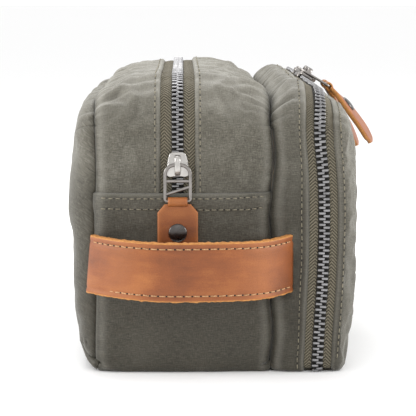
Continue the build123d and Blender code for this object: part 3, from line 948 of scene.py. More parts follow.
def capsule(length: float, radius: float, sides: int = 6) -> tuple[np.ndarray, list]:
    """One stitch lying along Y, ends dipping."""
    reach = length / 2
    route = [(0, -reach, -radius * 1.3), (0, -reach * 0.72, -radius * 0.1), (0, 0, radius * 0.35),
             (0, reach * 0.72, -radius * 0.1), (0, reach, -radius * 1.3)]
    return tube(np.array(route), radius, sides, up=(0, 0, 1))


def stitch_row(mould: Mould, frames: np.ndarray, length: float = 2.5, radius: float = 0.34,
               thread: int = 0, hole: int = 1, jitter: int = 5) -> None:
    """Add a row of stitches with a needle hole between each two.

    Args:
        mould: where they go.
        frames: across, along and outward axes and place of each stitch.
        length: stitch length.
        radius: thread radius.
        thread: slot of the thread.
        hole: slot of the holes.
        jitter: seed of the small differences.
    """
    draw = np.random.default_rng(jitter)
    stitch = capsule(length, radius)
    pit = turned([(0, -0.12), (radius * 1.35, -0.12), (radius * 1.35, 0.1), (0, 0.1)], 8)
    for i, block in enumerate(frames):
        angle = draw.normal(0, 0.06)
        cosine, sine = math.cos(angle), math.sin(angle)
        turn = np.array([[cosine, sine, 0], [-sine, cosine, 0], [0, 0, 1]])
        axes = turn @ block[:3]
        mould.add(stitch[0] @ axes + block[3], stitch[1], thread)
        if i + 1 < len(frames):
            middle = (block[3] + frames[i + 1][3]) / 2
            if np.linalg.norm(block[3] - frames[i + 1][3]) < 3 * length:
                mould.add(pit[0] @ block[:3] + middle, pit[1], hole)


# ---------------------------------------------------------------- the bag's numbers


@dataclass(frozen=True)
class BagSizes:
    """Sizes that several sub-assemblies share."""

    half_length: float = 125.0
    front_seam: float = -57.6
    divider: float = 27.8
    zip_x: float = -17.5
    slot: float = 8.4
    hem: float = 89.0
    side_zip_x: float = 52.0
    canvas_thick: float = 1.5
    flap: float = 97.0

    def main_top(self, x: np.ndarray) -> np.ndarray:
        """Height of the main compartment's top across the bag."""
        x = np.asarray(x, float)
        reach = (x + 15.8) / 43.4
        return 145.3 - 10.2 * np.abs(reach) ** 2.3

    def side_top(self, x: np.ndarray) -> np.ndarray:
        """Height of the side compartment's top across the bag."""
        x = np.asarray(x, float)
        arc = 104.5 + np.sqrt(np.clip(40.0 ** 2 - (x - 31.0) ** 2, 0, None))
        return arc - 7.5 * (1 - ease((x - 27.5) / 14.0)) - 1.6 * (1 - ease((x - 42.0) / 8.0))


SIZES = BagSizes()
MAIN_RING = Ring(SIZES.half_length, foot=4.0)
SIDE_RING = Ring(SIZES.half_length, foot=4.0)


def side_sway(x: np.ndarray, z: np.ndarray) -> np.ndarray:
    """How far the side zip leans across the bag at each height on the ends.

    Args:
        x: place across the bag; the divider seam and the lid's face stay where they are.
        z: height.

    Returns:
        The lean, towards +X.
    """
    share = np.clip(np.minimum((x - 28.0) / 22.0, (74.0 - x) / 16.0), 0, 1)
    lean = 1.9 * near(z, 74.0, 42.0) - 1.3 * np.clip((40.0 - z) / 40.0, 0, 1) - 1.4 * near(z, 118.0, 16.0)
    return lean * share


class Part:
    """A sub-assembly of the bag."""

    title = "part"

    def __init__(self) -> None:
        """Start with no pieces."""
        self.pieces: list[bpy.types.Object] = []

    def keep(self, piece: bpy.types.Object, nodes: Sequence[str] = (), slot: str = "",
             body: str = "root", bend: Optional[tuple] = None) -> bpy.types.Object:
        """Attach a finished piece, or bake it in place where a bend is given.

        Args:
            piece: the piece.
            nodes: CAD nodes it stands for.
            slot: material slot of the record; not used.
            body: the body it rides on.
            bend: other body, start and end of a bend between two bodies; only whether one is given is used,
                and then the piece is baked in place instead of attached.

        Returns:
            The piece.
        """
        if bend:
            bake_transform(piece)
        else:
            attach(piece, body)
        if nodes:
            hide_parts(*nodes)
        self.pieces.append(piece)
        log.info("%s: %s, %d vertices", self.title, piece.name, len(piece.data.vertices))
        return piece

    def build(self) -> None:
        """Make every piece."""
        raise NotImplementedError


@dataclass
class PadSetup:
    """How a padded canvas panel is settled by the cloth simulation."""

    pressure: float = 2.2
    slack: float = 0.03
    frames: int = 12
    most: float = 1.2

    def settle(self, piece: bpy.types.Object, loose: np.ndarray) -> None:
        """Let a panel puff and wrinkle, with its seams held.

        Args:
            piece: the panel's object, not yet attached.
            loose: per vertex, 1 where it is free and 0 where it is sewn down.
        """
        rest = np.array([v.co[:] for v in piece.data.vertices])
        pins = piece.vertex_groups.new(name="sewn")
        for index, free in enumerate(loose):
            pins.add([index], float(1 - free), "REPLACE")
        cloth = piece.modifiers.new("cloth", "CLOTH")
        settings = cloth.settings
        settings.quality = 4
        settings.mass = 0.25
        settings.tension_stiffness = 25
        settings.compression_stiffness = 8
        settings.bending_stiffness = 3.0
        settings.use_pressure = True
        settings.uniform_pressure_force = self.pressure
        settings.shrink_min = -self.slack
        settings.vertex_group_mass = "sewn"
        settings.pin_stiffness = 1.0
        settings.effector_weights.gravity = 0.0
        cloth.point_cache.frame_start = 1
        cloth.point_cache.frame_end = self.frames
        scene = bpy.context.scene
        for step in range(1, self.frames + 1):
            scene.frame_set(step)
            bpy.context.view_layer.update()
        graph = bpy.context.evaluated_depsgraph_get()
        shown = piece.evaluated_get(graph)
        moved = np.array([v.co[:] for v in shown.data.vertices]) - rest
        piece.modifiers.remove(cloth)
        scene.frame_set(1)
        reach = np.linalg.norm(moved, axis=1)
        cap = self.most * MM
        moved *= (np.minimum(reach, cap) / np.maximum(reach, 1e-9) * loose)[:, None]
        piece.data.vertices.foreach_set("co", (rest + moved).astype(np.float32).ravel())
        piece.data.update()
        log.info("settled %s by up to %.2f mm", piece.name, float(np.linalg.norm(moved, axis=1).max()) / MM)


# ---------------------------------------------------------------- canvas of the main compartment


class MainCompartment(Part):
    """Front panel, lower gusset with its hem, the four zip gussets and the seams."""

    title = "main compartment"

    def __init__(self) -> None:
        """Set out the gusset's two bands."""
        super().__init__()
        middle_left = SIZES.zip_x - SIZES.slot
        middle_right = SIZES.zip_x + SIZES.slot
        self.band = Band(MAIN_RING, SIZES.front_seam, SIZES.divider, SIZES.main_top, SIZES.zip_x, 11,
                         wrinkle=0.6, roll=5.6, roll_depth=4.6)
        self.bulge_line = ([0, 5, 30, 79, 115, 126, 134], [0.25, 0.55, 0.86, 1.0, 0.86, 0.68, 0.5])
        self.edges = {"left": (SIZES.front_seam, middle_left), "right": (middle_right, SIZES.divider)}

    def build(self) -> None:
        """Make every canvas piece of the main compartment."""
        self.lower_gusset()
        for side in ("left", "right"):
            for end in ("near", "far"):
                self.zip_gusset(side, end)
        self.front_panel()
        self.seam_binding()
        self.divider()
        self.lining()
        self.stitching()

    def wear(self, x: np.ndarray, t: np.ndarray) -> np.ndarray:
        """How rubbed the gusset is along its seams, with painted light round the top bend and on the top, and
        painted shade in the seam crevices.
        """
        ring = self.band.ring
        edge = np.minimum(x - self.band.left, self.band.right - x)
        on_top = ease((t - ring.marks[1] + 4) / 24) * (1 - ease((t - ring.marks[4] + 20) / 24))
        # The term on the top is painted light; the negative bell at the seam is painted shade in its crevice.
        return 0.30 * near(edge, 3.6, 1.9) + 0.26 * on_top - 1.5 * near(edge, 0.0, 1.2)

    def lower_gusset(self) -> None:
        """The band below the zips: two ends and the base, with a folded hem at each end."""
        ring = self.band.ring
        start = ring.far(SIZES.hem) - 1e-6
        finish = ring.foot + ring.total + (SIZES.hem - ring.foot)
        xs = edge_spread(self.band.left, self.band.right, 2.0, 0.5, 4.5)
        ts = np.concatenate([edge_spread(start, start + 90, 2.4, 0.7, 4),
                             spread(start + 92, finish - 92, 4.0),
                             edge_spread(finish - 90, finish, 2.4, 0.7, 4)])
        t, x = np.meshgrid(ts, xs, indexing="ij")
        from_hem = np.minimum(t - start, finish - t)
        raised = 0.55 + 0.85 * (1 - ease((from_hem - 7.6) / 2.4)) - 1.1 * (1 - ease(from_hem / 0.7))
        points = self.band.lifted(x, t, raised)
        mould = Mould()
        add_sheet(mould, points, SIZES.canvas_thick, places(x, t, 0),
                  wear=self.wear(x, t) * 0.6 + 0.35 * near(from_hem, 0.4, 0.9))
        piece = mould.cast("lower_gusset_canvas", [Finish.CANVAS])
        self.keep(piece, ["lower_gusset"], "canvas")

    def zip_gusset(self, side: str, end: str) -> None:
        """One canvas piece beside the main zip, from the hem up to the middle of the top.

        Args:
            side: "left" or "right" of the zip.
            end: "near" or "far" end of the bag.
        """
        ring = self.band.ring
        left, right = self.edges[side]
        xs = edge_spread(left, right, 1.6, 0.45, 4.0)
        ts = spread(SIZES.hem - 8.0, ring.top_middle, 1.6)
        if end == "far":
            ts = ring.far(ts[::-1])
        t, x = np.meshgrid(ts, xs, indexing="ij")
        from_zip = (right - x) if side == "left" else (x - left)
        fold = -0.9 * (1 - ease(from_zip / 0.9)) + 0.28 * near(from_zip, 1.6, 1.4)
        points = self.band.lifted(x, t, 0.15 + fold)
        mould = Mould()
        add_sheet(mould, points, SIZES.canvas_thick, places(x, t, 0),
                  wear=self.wear(x, t) + 0.30 * near(from_zip, 0.7, 1.0))
        piece = mould.cast(f"zip_gusset_{side}_{end}_canvas", [Finish.CANVAS])
        flat = np.concatenate(mould.cloth)
        rim = np.minimum(np.abs(flat[:, 0] - left), np.abs(flat[:, 0] - right))
        foot = np.minimum(np.abs(flat[:, 1] - ts[0]), np.abs(flat[:, 1] - ts[-1]))
        inside = ease((rim - 3.0) / 9.0) * ease((foot - 4.0) / 12.0)
        PadSetup().settle(piece, inside)
        sign = -1 if end == "near" else 1
        nodes = [f"zip_gusset_{side}_{end}"] + ([f"zip_gusset_{side}_top"] if end == "near" else [])
        self.keep(piece, nodes, "canvas",
                  bend=(f"mouth_{side}", (0, sign * 124.0, 0), (0, sign * 84.0, 0)))

    def front_point(self, u: np.ndarray, v: np.ndarray) -> np.ndarray:
        """Outer face of the front panel.

        Args:
            u: 0 at the middle of the face to 1 at the seam.
            v: station along the seam.

        Returns:
            The points.
        """
        seam = self.band.point(np.full_like(v, self.band.left + 0.2), v)
        spine = seam.copy()
        spine[..., 1] = np.clip(seam[..., 1], -62, 62) * 0.85
        spine[..., 2] = 70 + (np.clip(seam[..., 2], 45, 100) - 70) * 0.8
        cover = seam + (spine - seam) * (1 - np.maximum(u, 0.5))[..., None]
        cover[..., 1] *= np.clip(u / 0.5, 0, 1)
        cover[..., 2] = 70 + (cover[..., 2] - 70) * np.clip(u / 0.5, 0, 1)
        down = np.clip((u - 0.60) / 0.40, 0, 1)
        depth = 12.3 * (1 - down ** 2.6) ** 0.55
        bulge = np.interp(cover[..., 2], *self.bulge_line)
        plain = self.band.left + 0.2
        cover[..., 0] = plain + (seam[..., 0] - plain) * ease((u - 0.62) / 0.38) - depth * bulge
        soft = Ripple(41, 55.0, 48.0).at(cover[..., 1], cover[..., 2])
        creased = Ripple(42, 16.0, 13.0).at(cover[..., 1], cover[..., 2])
        cover[..., 0] += (0.9 * soft + 0.3 * creased) * np.minimum(1, (1 - u) * 5)
        out = unit(np.stack([0 * u, seam[..., 1] - spine[..., 1], seam[..., 2] - spine[..., 2]], -1))
        swell = 3.6 * np.sin(np.clip((u - 0.62) / 0.38, 0, 1) * math.pi) ** 1.0
        cover += out * swell[..., None] * np.where(cover[..., 2:3] < 14, 0.2, 1.0)
        cover[..., 2] = np.maximum(cover[..., 2], 0.4)
        return cover

    def front_panel(self) -> None:
        """The padded panel that faces -X."""
        ring = self.band.ring
        ts = spread(ring.foot, ring.foot + ring.total, 2.6)[:-1]
        us = np.concatenate([np.linspace(0.0, 0.55, 16), np.linspace(0.58, 1.0, 24)])
        t, u = np.meshgrid(ts, us, indexing="ij")
        points = self.front_point(u, t)
        mould = Mould()
        flat = np.stack([points[..., 1], points[..., 2] + points[..., 0] * 0.7, 0 * u], -1)
        # The negative bell at the seam is painted shade in its crevice.
        wear = 0.50 * near(u, 0.955, 0.03) + 0.42 * near(u, 0.82, 0.12) - 1.2 * near(u, 1.0, 0.012)
        add_sheet(mould, points, SIZES.canvas_thick, flat, wear=wear, loop=True, flip=True, pole=0,
                  facing=-1.0)
        piece = mould.cast("front_panel_canvas", [Finish.CANVAS])
        weld(piece)
        self.keep(piece, ["front_panel"], "canvas")

    def seam_binding(self) -> None:
        """The bound seam allowances down inside the two ring seams."""
        ring = self.band.ring
        ts = spread(ring.foot, ring.foot + ring.total, 2.5)[:-1]
        # The binding is darkened all over as painted shade, down inside the seams.
        mould = Mould(shade_offset=0.8)
        for x in (self.band.left + 0.3, self.band.right + 0.1):
            route = self.band.lifted(np.full_like(ts, x), ts, -0.9)
            points, faces = tube(route, 1.1, 8, closed=True, up=(1, 0, 0))
            mould.add(points, faces)
        self.keep(mould.cast("seam_binding", [Finish.CANVAS]), [], "canvas")

    def divider(self) -> None:
        """The wall between the two compartments."""
        ring = Ring(SIZES.half_length - 8.0, 112.0, 20.0)
        ts = spread(ring.foot, ring.foot + ring.total, 4.0)[:-1]
        us = np.linspace(0.0, 1.0, 17)
        t, u = np.meshgrid(ts, us, indexing="ij")
        y, z = ring.place(t, np.full_like(t, 126.0))
        y, z = y * u, 66 + (z - 66) * u + 3.0
        soft = Ripple(51, 60.0, 60.0).at(y, z) * (1 - u)
        points = np.stack([SIZES.divider + 0.5 + 0.8 * soft, y, z], -1)
        mould = Mould()
        add_sheet(mould, points, 1.4, places(y, z, 0), loop=True, pole=0)
        piece = mould.cast("divider_cloth", [Finish.LINING])
        weld(piece)
        self.keep(piece, ["divider_panel"], "canvas")

    def lining(self) -> None:
        """The cloth bag inside the main compartment."""
        low, high = node_box("main_lining")
        ring = Ring(float(high[1]) - 3.0, 108.0, 24.0)
        span = spread(ring.far(114.0), ring.foot + ring.total + 114.0 - ring.foot, 5.0)
        xs = np.linspace(float(low[0]) + 13, float(high[0]) - 0.5, 18)
        t, x = np.meshgrid(span, xs, indexing="ij")
        y, z = ring.place(t, np.full_like(t, 114.0))
        points = np.stack([x, y * 0.992, np.maximum(z, 2.6)], -1)
        points[..., 2] += 0.5 * Ripple(61, 30, 40).at(x, t) * (points[..., 2] > 6)
        mould = Mould()
        add_sheet(mould, points, 0.6, places(x, t, 0))
        ys, zs = np.meshgrid(spread(-110, 110, 5), spread(6, 118, 5), indexing="ij")
        wall = np.interp(zs, [3, 40, 79, 110, 128], [-52, -61, -63.5, -59.5, -53.0])
        wall += 13.0 * np.clip((np.abs(ys) - 80) / 30, 0, 1) ** 1.5
        sheet = np.stack([wall, ys, zs], -1)
        add_sheet(mould, sheet, 0.6, places(ys, zs, 0), flip=True)
        piece = mould.cast("main_lining_cloth", [Finish.LINING])
        self.keep(piece, ["main_lining"], "lining_cloth")

    def stitching(self) -> None:
        """Thread along the hem and beside the main zip."""
        ring = self.band.ring
        draw = 71
        hem = Mould()
        for end in ("near", "far"):
            for height in (86.4, 81.0):
                station = height if end == "near" else ring.far(height)
                xs = spread(self.band.left + 4.5, self.band.right - 4.5, 3.3)
                frames = self.band.frame(xs, np.full_like(xs, station))
                turned_frames = np.stack([frames[:, 1], -frames[:, 0], frames[:, 2],
                                          frames[:, 3] + frames[:, 2] * 1.35], 1)
                stitch_row(hem, turned_frames, 2.0, 0.25, jitter=draw)
                draw += 1
        self.keep(hem.cast("hem_stitches", [Finish.KHAKI_THREAD, Finish.HOLE]), [], "canvas")
        for side, x in (("left", SIZES.zip_x - 10.9), ("right", SIZES.zip_x + 10.9)):
            for end in ("near", "far"):
                ts = spread(SIZES.hem + 1.5, ring.top_middle - 1.7, 3.3)
                ts = ts if end == "near" else ring.far(ts)
                row = Mould()
                frames = self.band.frame(np.full_like(ts, x), ts)
                frames[:, 3] += frames[:, 2] * 0.42
                stitch_row(row, frames, 2.0, 0.25, jitter=draw)
                draw += 1
                piece = row.cast(f"zip_stitches_{side}_{end}", [Finish.KHAKI_THREAD, Finish.HOLE])
                sign = -1 if end == "near" else 1
                self.keep(piece, [], "canvas",
                          bend=(f"mouth_{side}", (0, sign * 124.0, 0), (0, sign * 84.0, 0)))


# ---------------------------------------------------------------- zips


@dataclass(frozen=True)
class ZipSizes:
    """Sizes of a zip's tapes and chain."""

    pitch: float
    gap: float
    ridge: tuple[float, float, float]
    tooth_out: float
    tooth_width: float
    tooth_rise: float = 1.7
    bed_reach: float = 2.9


def tape_half(band: Band, middle: float, side: int, outer: float, ts: np.ndarray, sizes: ZipSizes) -> Mould:
    """The tape on one side of a zip.

    Args:
        band: the canvas band that the zip lies in.
        middle: X of the zip's middle.
        side: -1 or 1.
        outer: X of the tape's far edge.
        ts: stations along the band.
        sizes: the zip's sizes.

    Returns:
        The tape.
    """
    inner = middle + side * sizes.gap
    t, x = np.meshgrid(ts, np.linspace(min(outer, inner), max(outer, inner), 10), indexing="ij")
    height, place, width = sizes.ridge
    lift = -1.25 + height * near(np.abs(x - middle), place, width)
    mould = Mould()
    add_sheet(mould, band.lifted(x, t, lift), 0.6, places(x, t, 0))
    return mould


def chain_half(band: Band, middle: float, side: int, ts: np.ndarray, stations: np.ndarray,
               sizes: ZipSizes) -> Mould:
    """The teeth on one side of a zip, with the bed they are crimped to, coloured near black as painted shade
    between the teeth.

    Args:
        band: the canvas band that the zip lies in.
        middle: X of the zip's middle.
        side: -1 or 1.
        ts: stations of the bed.
        stations: one for each tooth.
        sizes: the zip's sizes.

    Returns:
        The bed, in slot 1, and the teeth, in slot 0.
    """
    low, high = sorted((middle + side * sizes.bed_reach, middle - side * 0.15))
    bed_t, bed_x = np.meshgrid(ts, np.linspace(low, high, 6), indexing="ij")
    mould = Mould()
    # The bed's near-black finish is painted shade between the teeth.
    add_sheet(mould, band.lifted(bed_x, bed_t, -0.78), 0.4, places(bed_x, bed_t, 0), 1)
    frames = band.frame(np.full_like(stations, middle + side * sizes.tooth_out), stations)
    frames[:, 3] += frames[:, 2] * 0.05
    add_copies(mould, rounded_box((sizes.tooth_width, sizes.pitch * 0.44, sizes.tooth_rise), 0.3, 2), frames)
    return mould


class MainZip(Part):
    """Tapes and teeth of the main zip, one piece for each half of each side."""

    title = "main zip"

    def __init__(self, compartment: MainCompartment) -> None:
        """Use the compartment's canvas band as the guide."""
        super().__init__()
        self.band = compartment.band

    def build(self) -> None:
        """Make tapes and teeth."""
        ring = self.band.ring
        sizes = ZipSizes(pitch=2.4, gap=0.75, ridge=(0.35, 4.6, 1.8), tooth_out=1.1, tooth_width=3.3)
        for side, sign in (("left", -1), ("right", 1)):
            for end, way in (("near", -1), ("far", 1)):
                ts = spread(SIZES.hem - 6.0, ring.top_middle, 1.4)
                stations = np.arange(SIZES.hem + 1.0, ring.top_middle - 0.3, sizes.pitch)
                stations = stations + (sizes.pitch / 2 if sign > 0 else 0)
                stations = stations[stations < ring.top_middle - 0.4]
                if end == "far":
                    ts, stations = ring.far(ts[::-1]), ring.far(stations)
                outer = SIZES.zip_x + sign * (SIZES.slot + 2.2)
                tape = tape_half(self.band, SIZES.zip_x, sign, outer, ts, sizes)
                chain = chain_half(self.band, SIZES.zip_x, sign, ts, stations, sizes)
                bend = (f"mouth_{side}", (0, way * 124.0, 0), (0, way * 84.0, 0))
                for mould, kind, label, finishes, slot in (
                        (tape, "tape", "cloth", [Finish.TAPE], "zip_tape"),
                        (chain, "teeth", "chain", [Finish.TEETH, Finish.CHAIN_BED], "zip_teeth")):
                    nodes = [f"main_{kind}_{side}_{end}"] + ([f"main_{kind}_{side}_top"] if way < 0 else [])
                    piece = mould.cast(f"main_{kind}_{side}_{end}_{label}", finishes)
                    self.keep(piece, nodes, slot, bend=bend)
        ends = Mould()
        pad = np.linspace(SIZES.zip_x - SIZES.slot - 2, SIZES.zip_x + SIZES.slot + 2, 12)
        for end in ("near", "far"):
            ts = spread(SIZES.hem - 7.0, SIZES.hem + 4.5, 1.2)
            ts = ts if end == "near" else ring.far(ts[::-1])
            t, x = np.meshgrid(ts, pad, indexing="ij")
            add_sheet(ends, self.band.lifted(x, t, -2.1), 0.5, places(x, t, 0))
        self.keep(ends.cast("main_zip_end_cloth", [Finish.TAPE]), [], "zip_tape")


# ---------------------------------------------------------------- side compartment


class SideCompartment(Part):
    """Gusset, base and linings of the side compartment."""

    title = "side compartment"

    def __init__(self) -> None:
        """Set out the band that the gusset, the zip and the lid's edge share."""
        super().__init__()
        self.band = Band(SIDE_RING, 28.0, 76.0, SIZES.side_top, SIZES.side_zip_x, 23, recess=3.0, roll=6.0,
                         roll_depth=5.0, wrinkle=0.8, sway=side_sway, soft_right=False, seam_seed=302)
        self.edge = 45.2

    def build(self) -> None:
        """Make the gusset in two halves, the base, the lining and the thread."""
        ring = self.band.ring
        for end in ("near", "far"):
            ts = spread(ring.foot - 5.6, ring.top_middle, 1.8)
            ts = ts if end == "near" else ring.far(ts[::-1])
            xs = edge_spread(self.band.left, self.edge, 1.3, 0.45, 4.0)
            t, x = np.meshgrid(ts, xs, indexing="ij")
            from_zip = self.edge - x
            fold = -0.9 * (1 - ease(from_zip / 0.9)) + 0.25 * near(from_zip, 1.6, 1.4)
            points = self.band.lifted(x, t, 0.15 + fold)
            # The negative bell at the seam is painted shade in its crevice and the term on the top is painted
            # light; the whole piece is darkened with painted shade for its recess.
            wear = (0.30 * near(x, self.band.left + 4.0, 1.9) - 1.5 * near(x, self.band.left, 1.0)
                    + 0.32 * near(from_zip, 0.7, 1.0)
                    + 0.20 * ease((t - ring.marks[1] + 4) / 24) * (1 - ease((t - ring.marks[4] + 20) / 24)))
            mould = Mould(shade_offset=0.30)
            add_sheet(mould, points, SIZES.canvas_thick, places(x, t, 0), wear=wear)
            piece = mould.cast(f"side_gusset_{end}_canvas", [Finish.CANVAS])
            flat = np.concatenate(mould.cloth)
            rim = np.minimum(flat[:, 0] - self.band.left, self.edge - flat[:, 0])
            foot = np.minimum(np.abs(flat[:, 1] - ts[0]), np.abs(flat[:, 1] - ts[-1]))
            PadSetup().settle(piece, ease((rim - 3.0) / 5.0) * ease((foot - 3.0) / 10.0))
            self.keep(piece, ["side_gusset"] if end == "near" else [], "canvas")
        self.base()
        self.lining()
        self.thread()

    def base(self) -> None:
        """The canvas under the side compartment."""
        xs = spread(28.6, 61.0, 3.0)
        ys = spread(-120.5, 120.5, 4.0)
        y, x = np.meshgrid(ys, xs, indexing="ij")
        edge = 120.5 - np.abs(y)
        z = 0.7 + 0.5 * (1 - ease(edge / 3.0)) + 0.8 * ease((x - 56) / 5)
        mould = Mould()
        add_sheet(mould, np.stack([x, y, z], -1), -1.4, places(x, y, 0), flip=True)
        self.keep(mould.cast("side_base_canvas", [Finish.CANVAS]), ["side_base"], "canvas")

    def lining(self) -> None:
        """Cloth inside the side compartment."""
        ring = Ring(118.5, 108.0, 24.0, 8.0)
        ts = spread(ring.foot, ring.foot + ring.total, 4.0)[:-1]
        xs = np.linspace(32.0, 41.0, 8)
        t, x = np.meshgrid(ts, xs, indexing="ij")
        y, z = ring.place(t, 131.0 - 0.16 * (x - 31.0))
        soft = 0.4 * Ripple(81, 30, 40).at(x, t)
        points = np.stack([x, y * 0.995, np.maximum(z * 0.985 + 2.4 + soft, 2.4)], -1)
        mould = Mould()
        add_sheet(mould, points, 0.6, places(x, t, 0), loop=True)
        self.keep(mould.cast("side_lining_cloth", [Finish.LINING]), ["side_lining"], "lining_cloth")

    def thread(self) -> None:
        """Stitches beside the zip on the gusset."""
        ring = self.band.ring
        row = Mould()
        for end in ("near", "far"):
            ts = spread(3.0, ring.top_middle - 1.6, 3.2)
            ts = ts if end == "near" else ring.far(ts)
            frames = self.band.frame(np.full_like(ts, self.edge - 3.4), ts)
            frames[:, 3] += frames[:, 2] * 0.42
            stitch_row(row, frames, 1.9, 0.23, jitter=91)
        self.keep(row.cast("side_gusset_stitches", [Finish.KHAKI_THREAD, Finish.HOLE]), [], "canvas")


HINGE_BEND = ("lid", (60.0, 0.0, 0.0), (68.0, 0.0, 12.0))


class Lid(Part):
    """The padded tray that opens the side compartment."""

    title = "lid"

    def __init__(self, compartment: SideCompartment) -> None:
        """Use the side compartment's band as the guide for the lid's edge."""
        super().__init__()
        self.band = compartment.band
        self.edge = 58.6
        self.face_line = ([0, 7, 30, 74, 105, 124, 140], [64.0, 65.8, 69.0, 70.8, 69.2, 66.8, 65.6])

    def section(self, t: np.ndarray, u: np.ndarray) -> np.ndarray:
        """The lid's outer face.

        Args:
            t: station along the ring.
            u: 0 at the zip, 1 where the rounded margin meets the face, 2 in the middle of the face.

        Returns:
            The points.
        """
        start = self.band.point(np.full_like(t, self.edge), t)
        ahead = unit(self.band.point(np.full_like(t, self.edge), t + 1)
                     - self.band.point(np.full_like(t, self.edge), t - 1))
        out = np.stack([0 * t, -ahead[..., 2], ahead[..., 1]], -1)
        angle = np.clip(u, 0, 1) * math.pi / 2
        ends, rise = np.abs(out[..., 1]), np.clip(out[..., 2], 0, 1)
        edge_y, edge_z = start[..., 1] * 0.868, 7.0 + start[..., 2] * 0.845
        face = np.interp(edge_z, *self.face_line)
        share = (1 - np.cos(angle) ** 0.82) * (1 - 0.45 * rise ** 2) + 0.45 * rise ** 2 * np.sin(angle)
        puff = 1.6 * np.sin(np.clip(u, 0, 1) * math.pi) * ends
        shape = start + out * puff[..., None]
        shape[..., 1] += (edge_y - start[..., 1]) * share
        shape[..., 2] += (edge_z - start[..., 2]) * share
        shape[..., 0] = start[..., 0] + (face - start[..., 0]) * np.sin(angle) ** 0.9 + 0.4 * puff
        soft = Ripple(101, 60.0, 45.0)
        crease = Ripple(102, 18.0, 14.0)
        way = np.clip(u - 1, 0, 1)
        flat_y = shape[..., 1] * (1 - way)
        flat_z = shape[..., 2] + (70.0 - shape[..., 2]) * way
        bulge = 1.6 * (1 - (1 - way) ** 2.2)
        level = np.interp(flat_z, *self.face_line)
        face_x = np.where(u > 1, level + bulge - 0.6, shape[..., 0])
        ripple = 0.8 * soft.at(flat_y, flat_z) + 0.3 * crease.at(flat_y, flat_z)
        face_x = face_x + ripple * np.clip((u - 0.45) * 1.6, 0, 1)
        seam = np.exp(-((u - 0.84) / 0.05) ** 2)
        face = places(face_x - 0.9 * seam, flat_y, np.maximum(flat_z, 0.5))
        return face - out * (0.7 * seam)[..., None]

    def build(self) -> None:
        """Make the lid's canvas, lining and stitches."""
        ring = self.band.ring
        ts = spread(ring.foot, ring.foot + ring.total, 2.2)[:-1]
        us = np.concatenate([np.linspace(0, 1.1, 34), np.linspace(1.16, 2.0, 17)])
        t, u = np.meshgrid(ts, us, indexing="ij")
        points = self.section(t, u)
        fold = -0.8 * np.exp(-(u / 0.04) ** 2)
        points = points + grid_normals(points, True) * fold[..., None]
        wear = 0.30 * near(u, 0.05, 0.05) + 0.34 * near(u, 0.76, 0.05) + 0.34 * near(u, 0.92, 0.04)
        wear += 0.30 * near(u, 0.45, 0.22)
        on_face = u > 0.84
        flat = places(np.where(on_face, points[..., 1], u * 22.0), np.where(on_face, points[..., 2], t), u)
        mould = Mould()
        add_sheet(mould, points, SIZES.canvas_thick, flat, wear=wear, loop=True, pole=-1)
        piece = mould.cast("lid_canvas", [Finish.CANVAS])
        weld(piece)
        across = cloth_places(piece)[:, 2]
        free = ease((across - 0.10) / 0.2) * (1 - 0.8 * near(across, 0.84, 0.06)) * ease((2.0 - across) / 0.3)
        PadSetup().settle(piece, free)
        self.keep(piece, ["lid_panel"], "canvas", bend=HINGE_BEND)
        lining = self.section(t, np.clip(u, 0.1, 2))
        lining = places(lining[..., 0] - 3.4, lining[..., 1] * 0.965, 70 + (lining[..., 2] - 70) * 0.95)
        cloth = Mould()
        add_sheet(cloth, lining[:, 3:], 0.6, np.stack([u * 22.0, t, 0 * u], -1)[:, 3:], loop=True, pole=-1)
        lined = cloth.cast("lid_lining_cloth", [Finish.LINING])
        weld(lined)
        self.keep(lined, ["lid_lining"], "lining_cloth", bend=HINGE_BEND)
        self.thread()

    def thread(self) -> None:
        """Stitches on the lid beside the zip."""
        ring = self.band.ring
        ts = spread(8.0, 2 * ring.top_middle - 8.0, 3.2)
        row_u = np.full_like(ts, 0.17)
        here = self.section(ts, row_u)
        ahead = unit(self.section(ts + 0.6, row_u) - self.section(ts - 0.6, row_u))
        across = unit(self.section(ts, np.full_like(ts, 0.21)) - self.section(ts, np.full_like(ts, 0.13)))
        out = unit(np.cross(across, ahead))
        row = Mould()
        frames = np.stack([np.cross(ahead, out), ahead, out, here + out * 0.15], 1)
        stitch_row(row, frames, 1.9, 0.23, jitter=111)
        self.keep(row.cast("lid_stitches", [Finish.KHAKI_THREAD, Finish.HOLE]), [], "canvas", bend=HINGE_BEND)


class SideZip(Part):
    """Tapes and teeth of the side zip: one half on the gusset, the other on the lid's side of the zip."""

    title = "side zip"

    def __init__(self, compartment: SideCompartment) -> None:
        """Use the side compartment's band as the guide."""
        super().__init__()
        self.band = compartment.band

    def build(self) -> None:
        """Make both halves."""
        ring = self.band.ring
        ts = spread(ring.foot - 5.4, 2 * ring.top_middle - ring.foot + 5.4, 1.6)
        sizes = ZipSizes(pitch=2.8, gap=0.8, ridge=(0.3, 4.4, 1.6), tooth_out=1.05, tooth_width=3.2)
        middle = SIZES.side_zip_x
        for half, sign, outer, bend in (("inner", -1, 43.0, None), ("outer", 1, 60.2, HINGE_BEND)):
            stations = np.arange(0.6, 2 * ring.top_middle - 0.6, sizes.pitch)
            stations = stations + (sizes.pitch / 2 if sign > 0 else 0)
            tape = tape_half(self.band, middle, sign, outer, ts, sizes)
            tape = tape.cast(f"side_tape_{half}_cloth", [Finish.TAPE])
            chain = chain_half(self.band, middle, sign, ts, stations, sizes)
            teeth = chain.cast(f"side_teeth_{half}_chain", [Finish.TEETH, Finish.CHAIN_BED])
            self.keep(tape, [f"side_tape_{half}"], "zip_tape", bend=bend)
            self.keep(teeth, [f"side_teeth_{half}"], "zip_teeth", bend=bend)


# ---------------------------------------------------------------- zip hardware


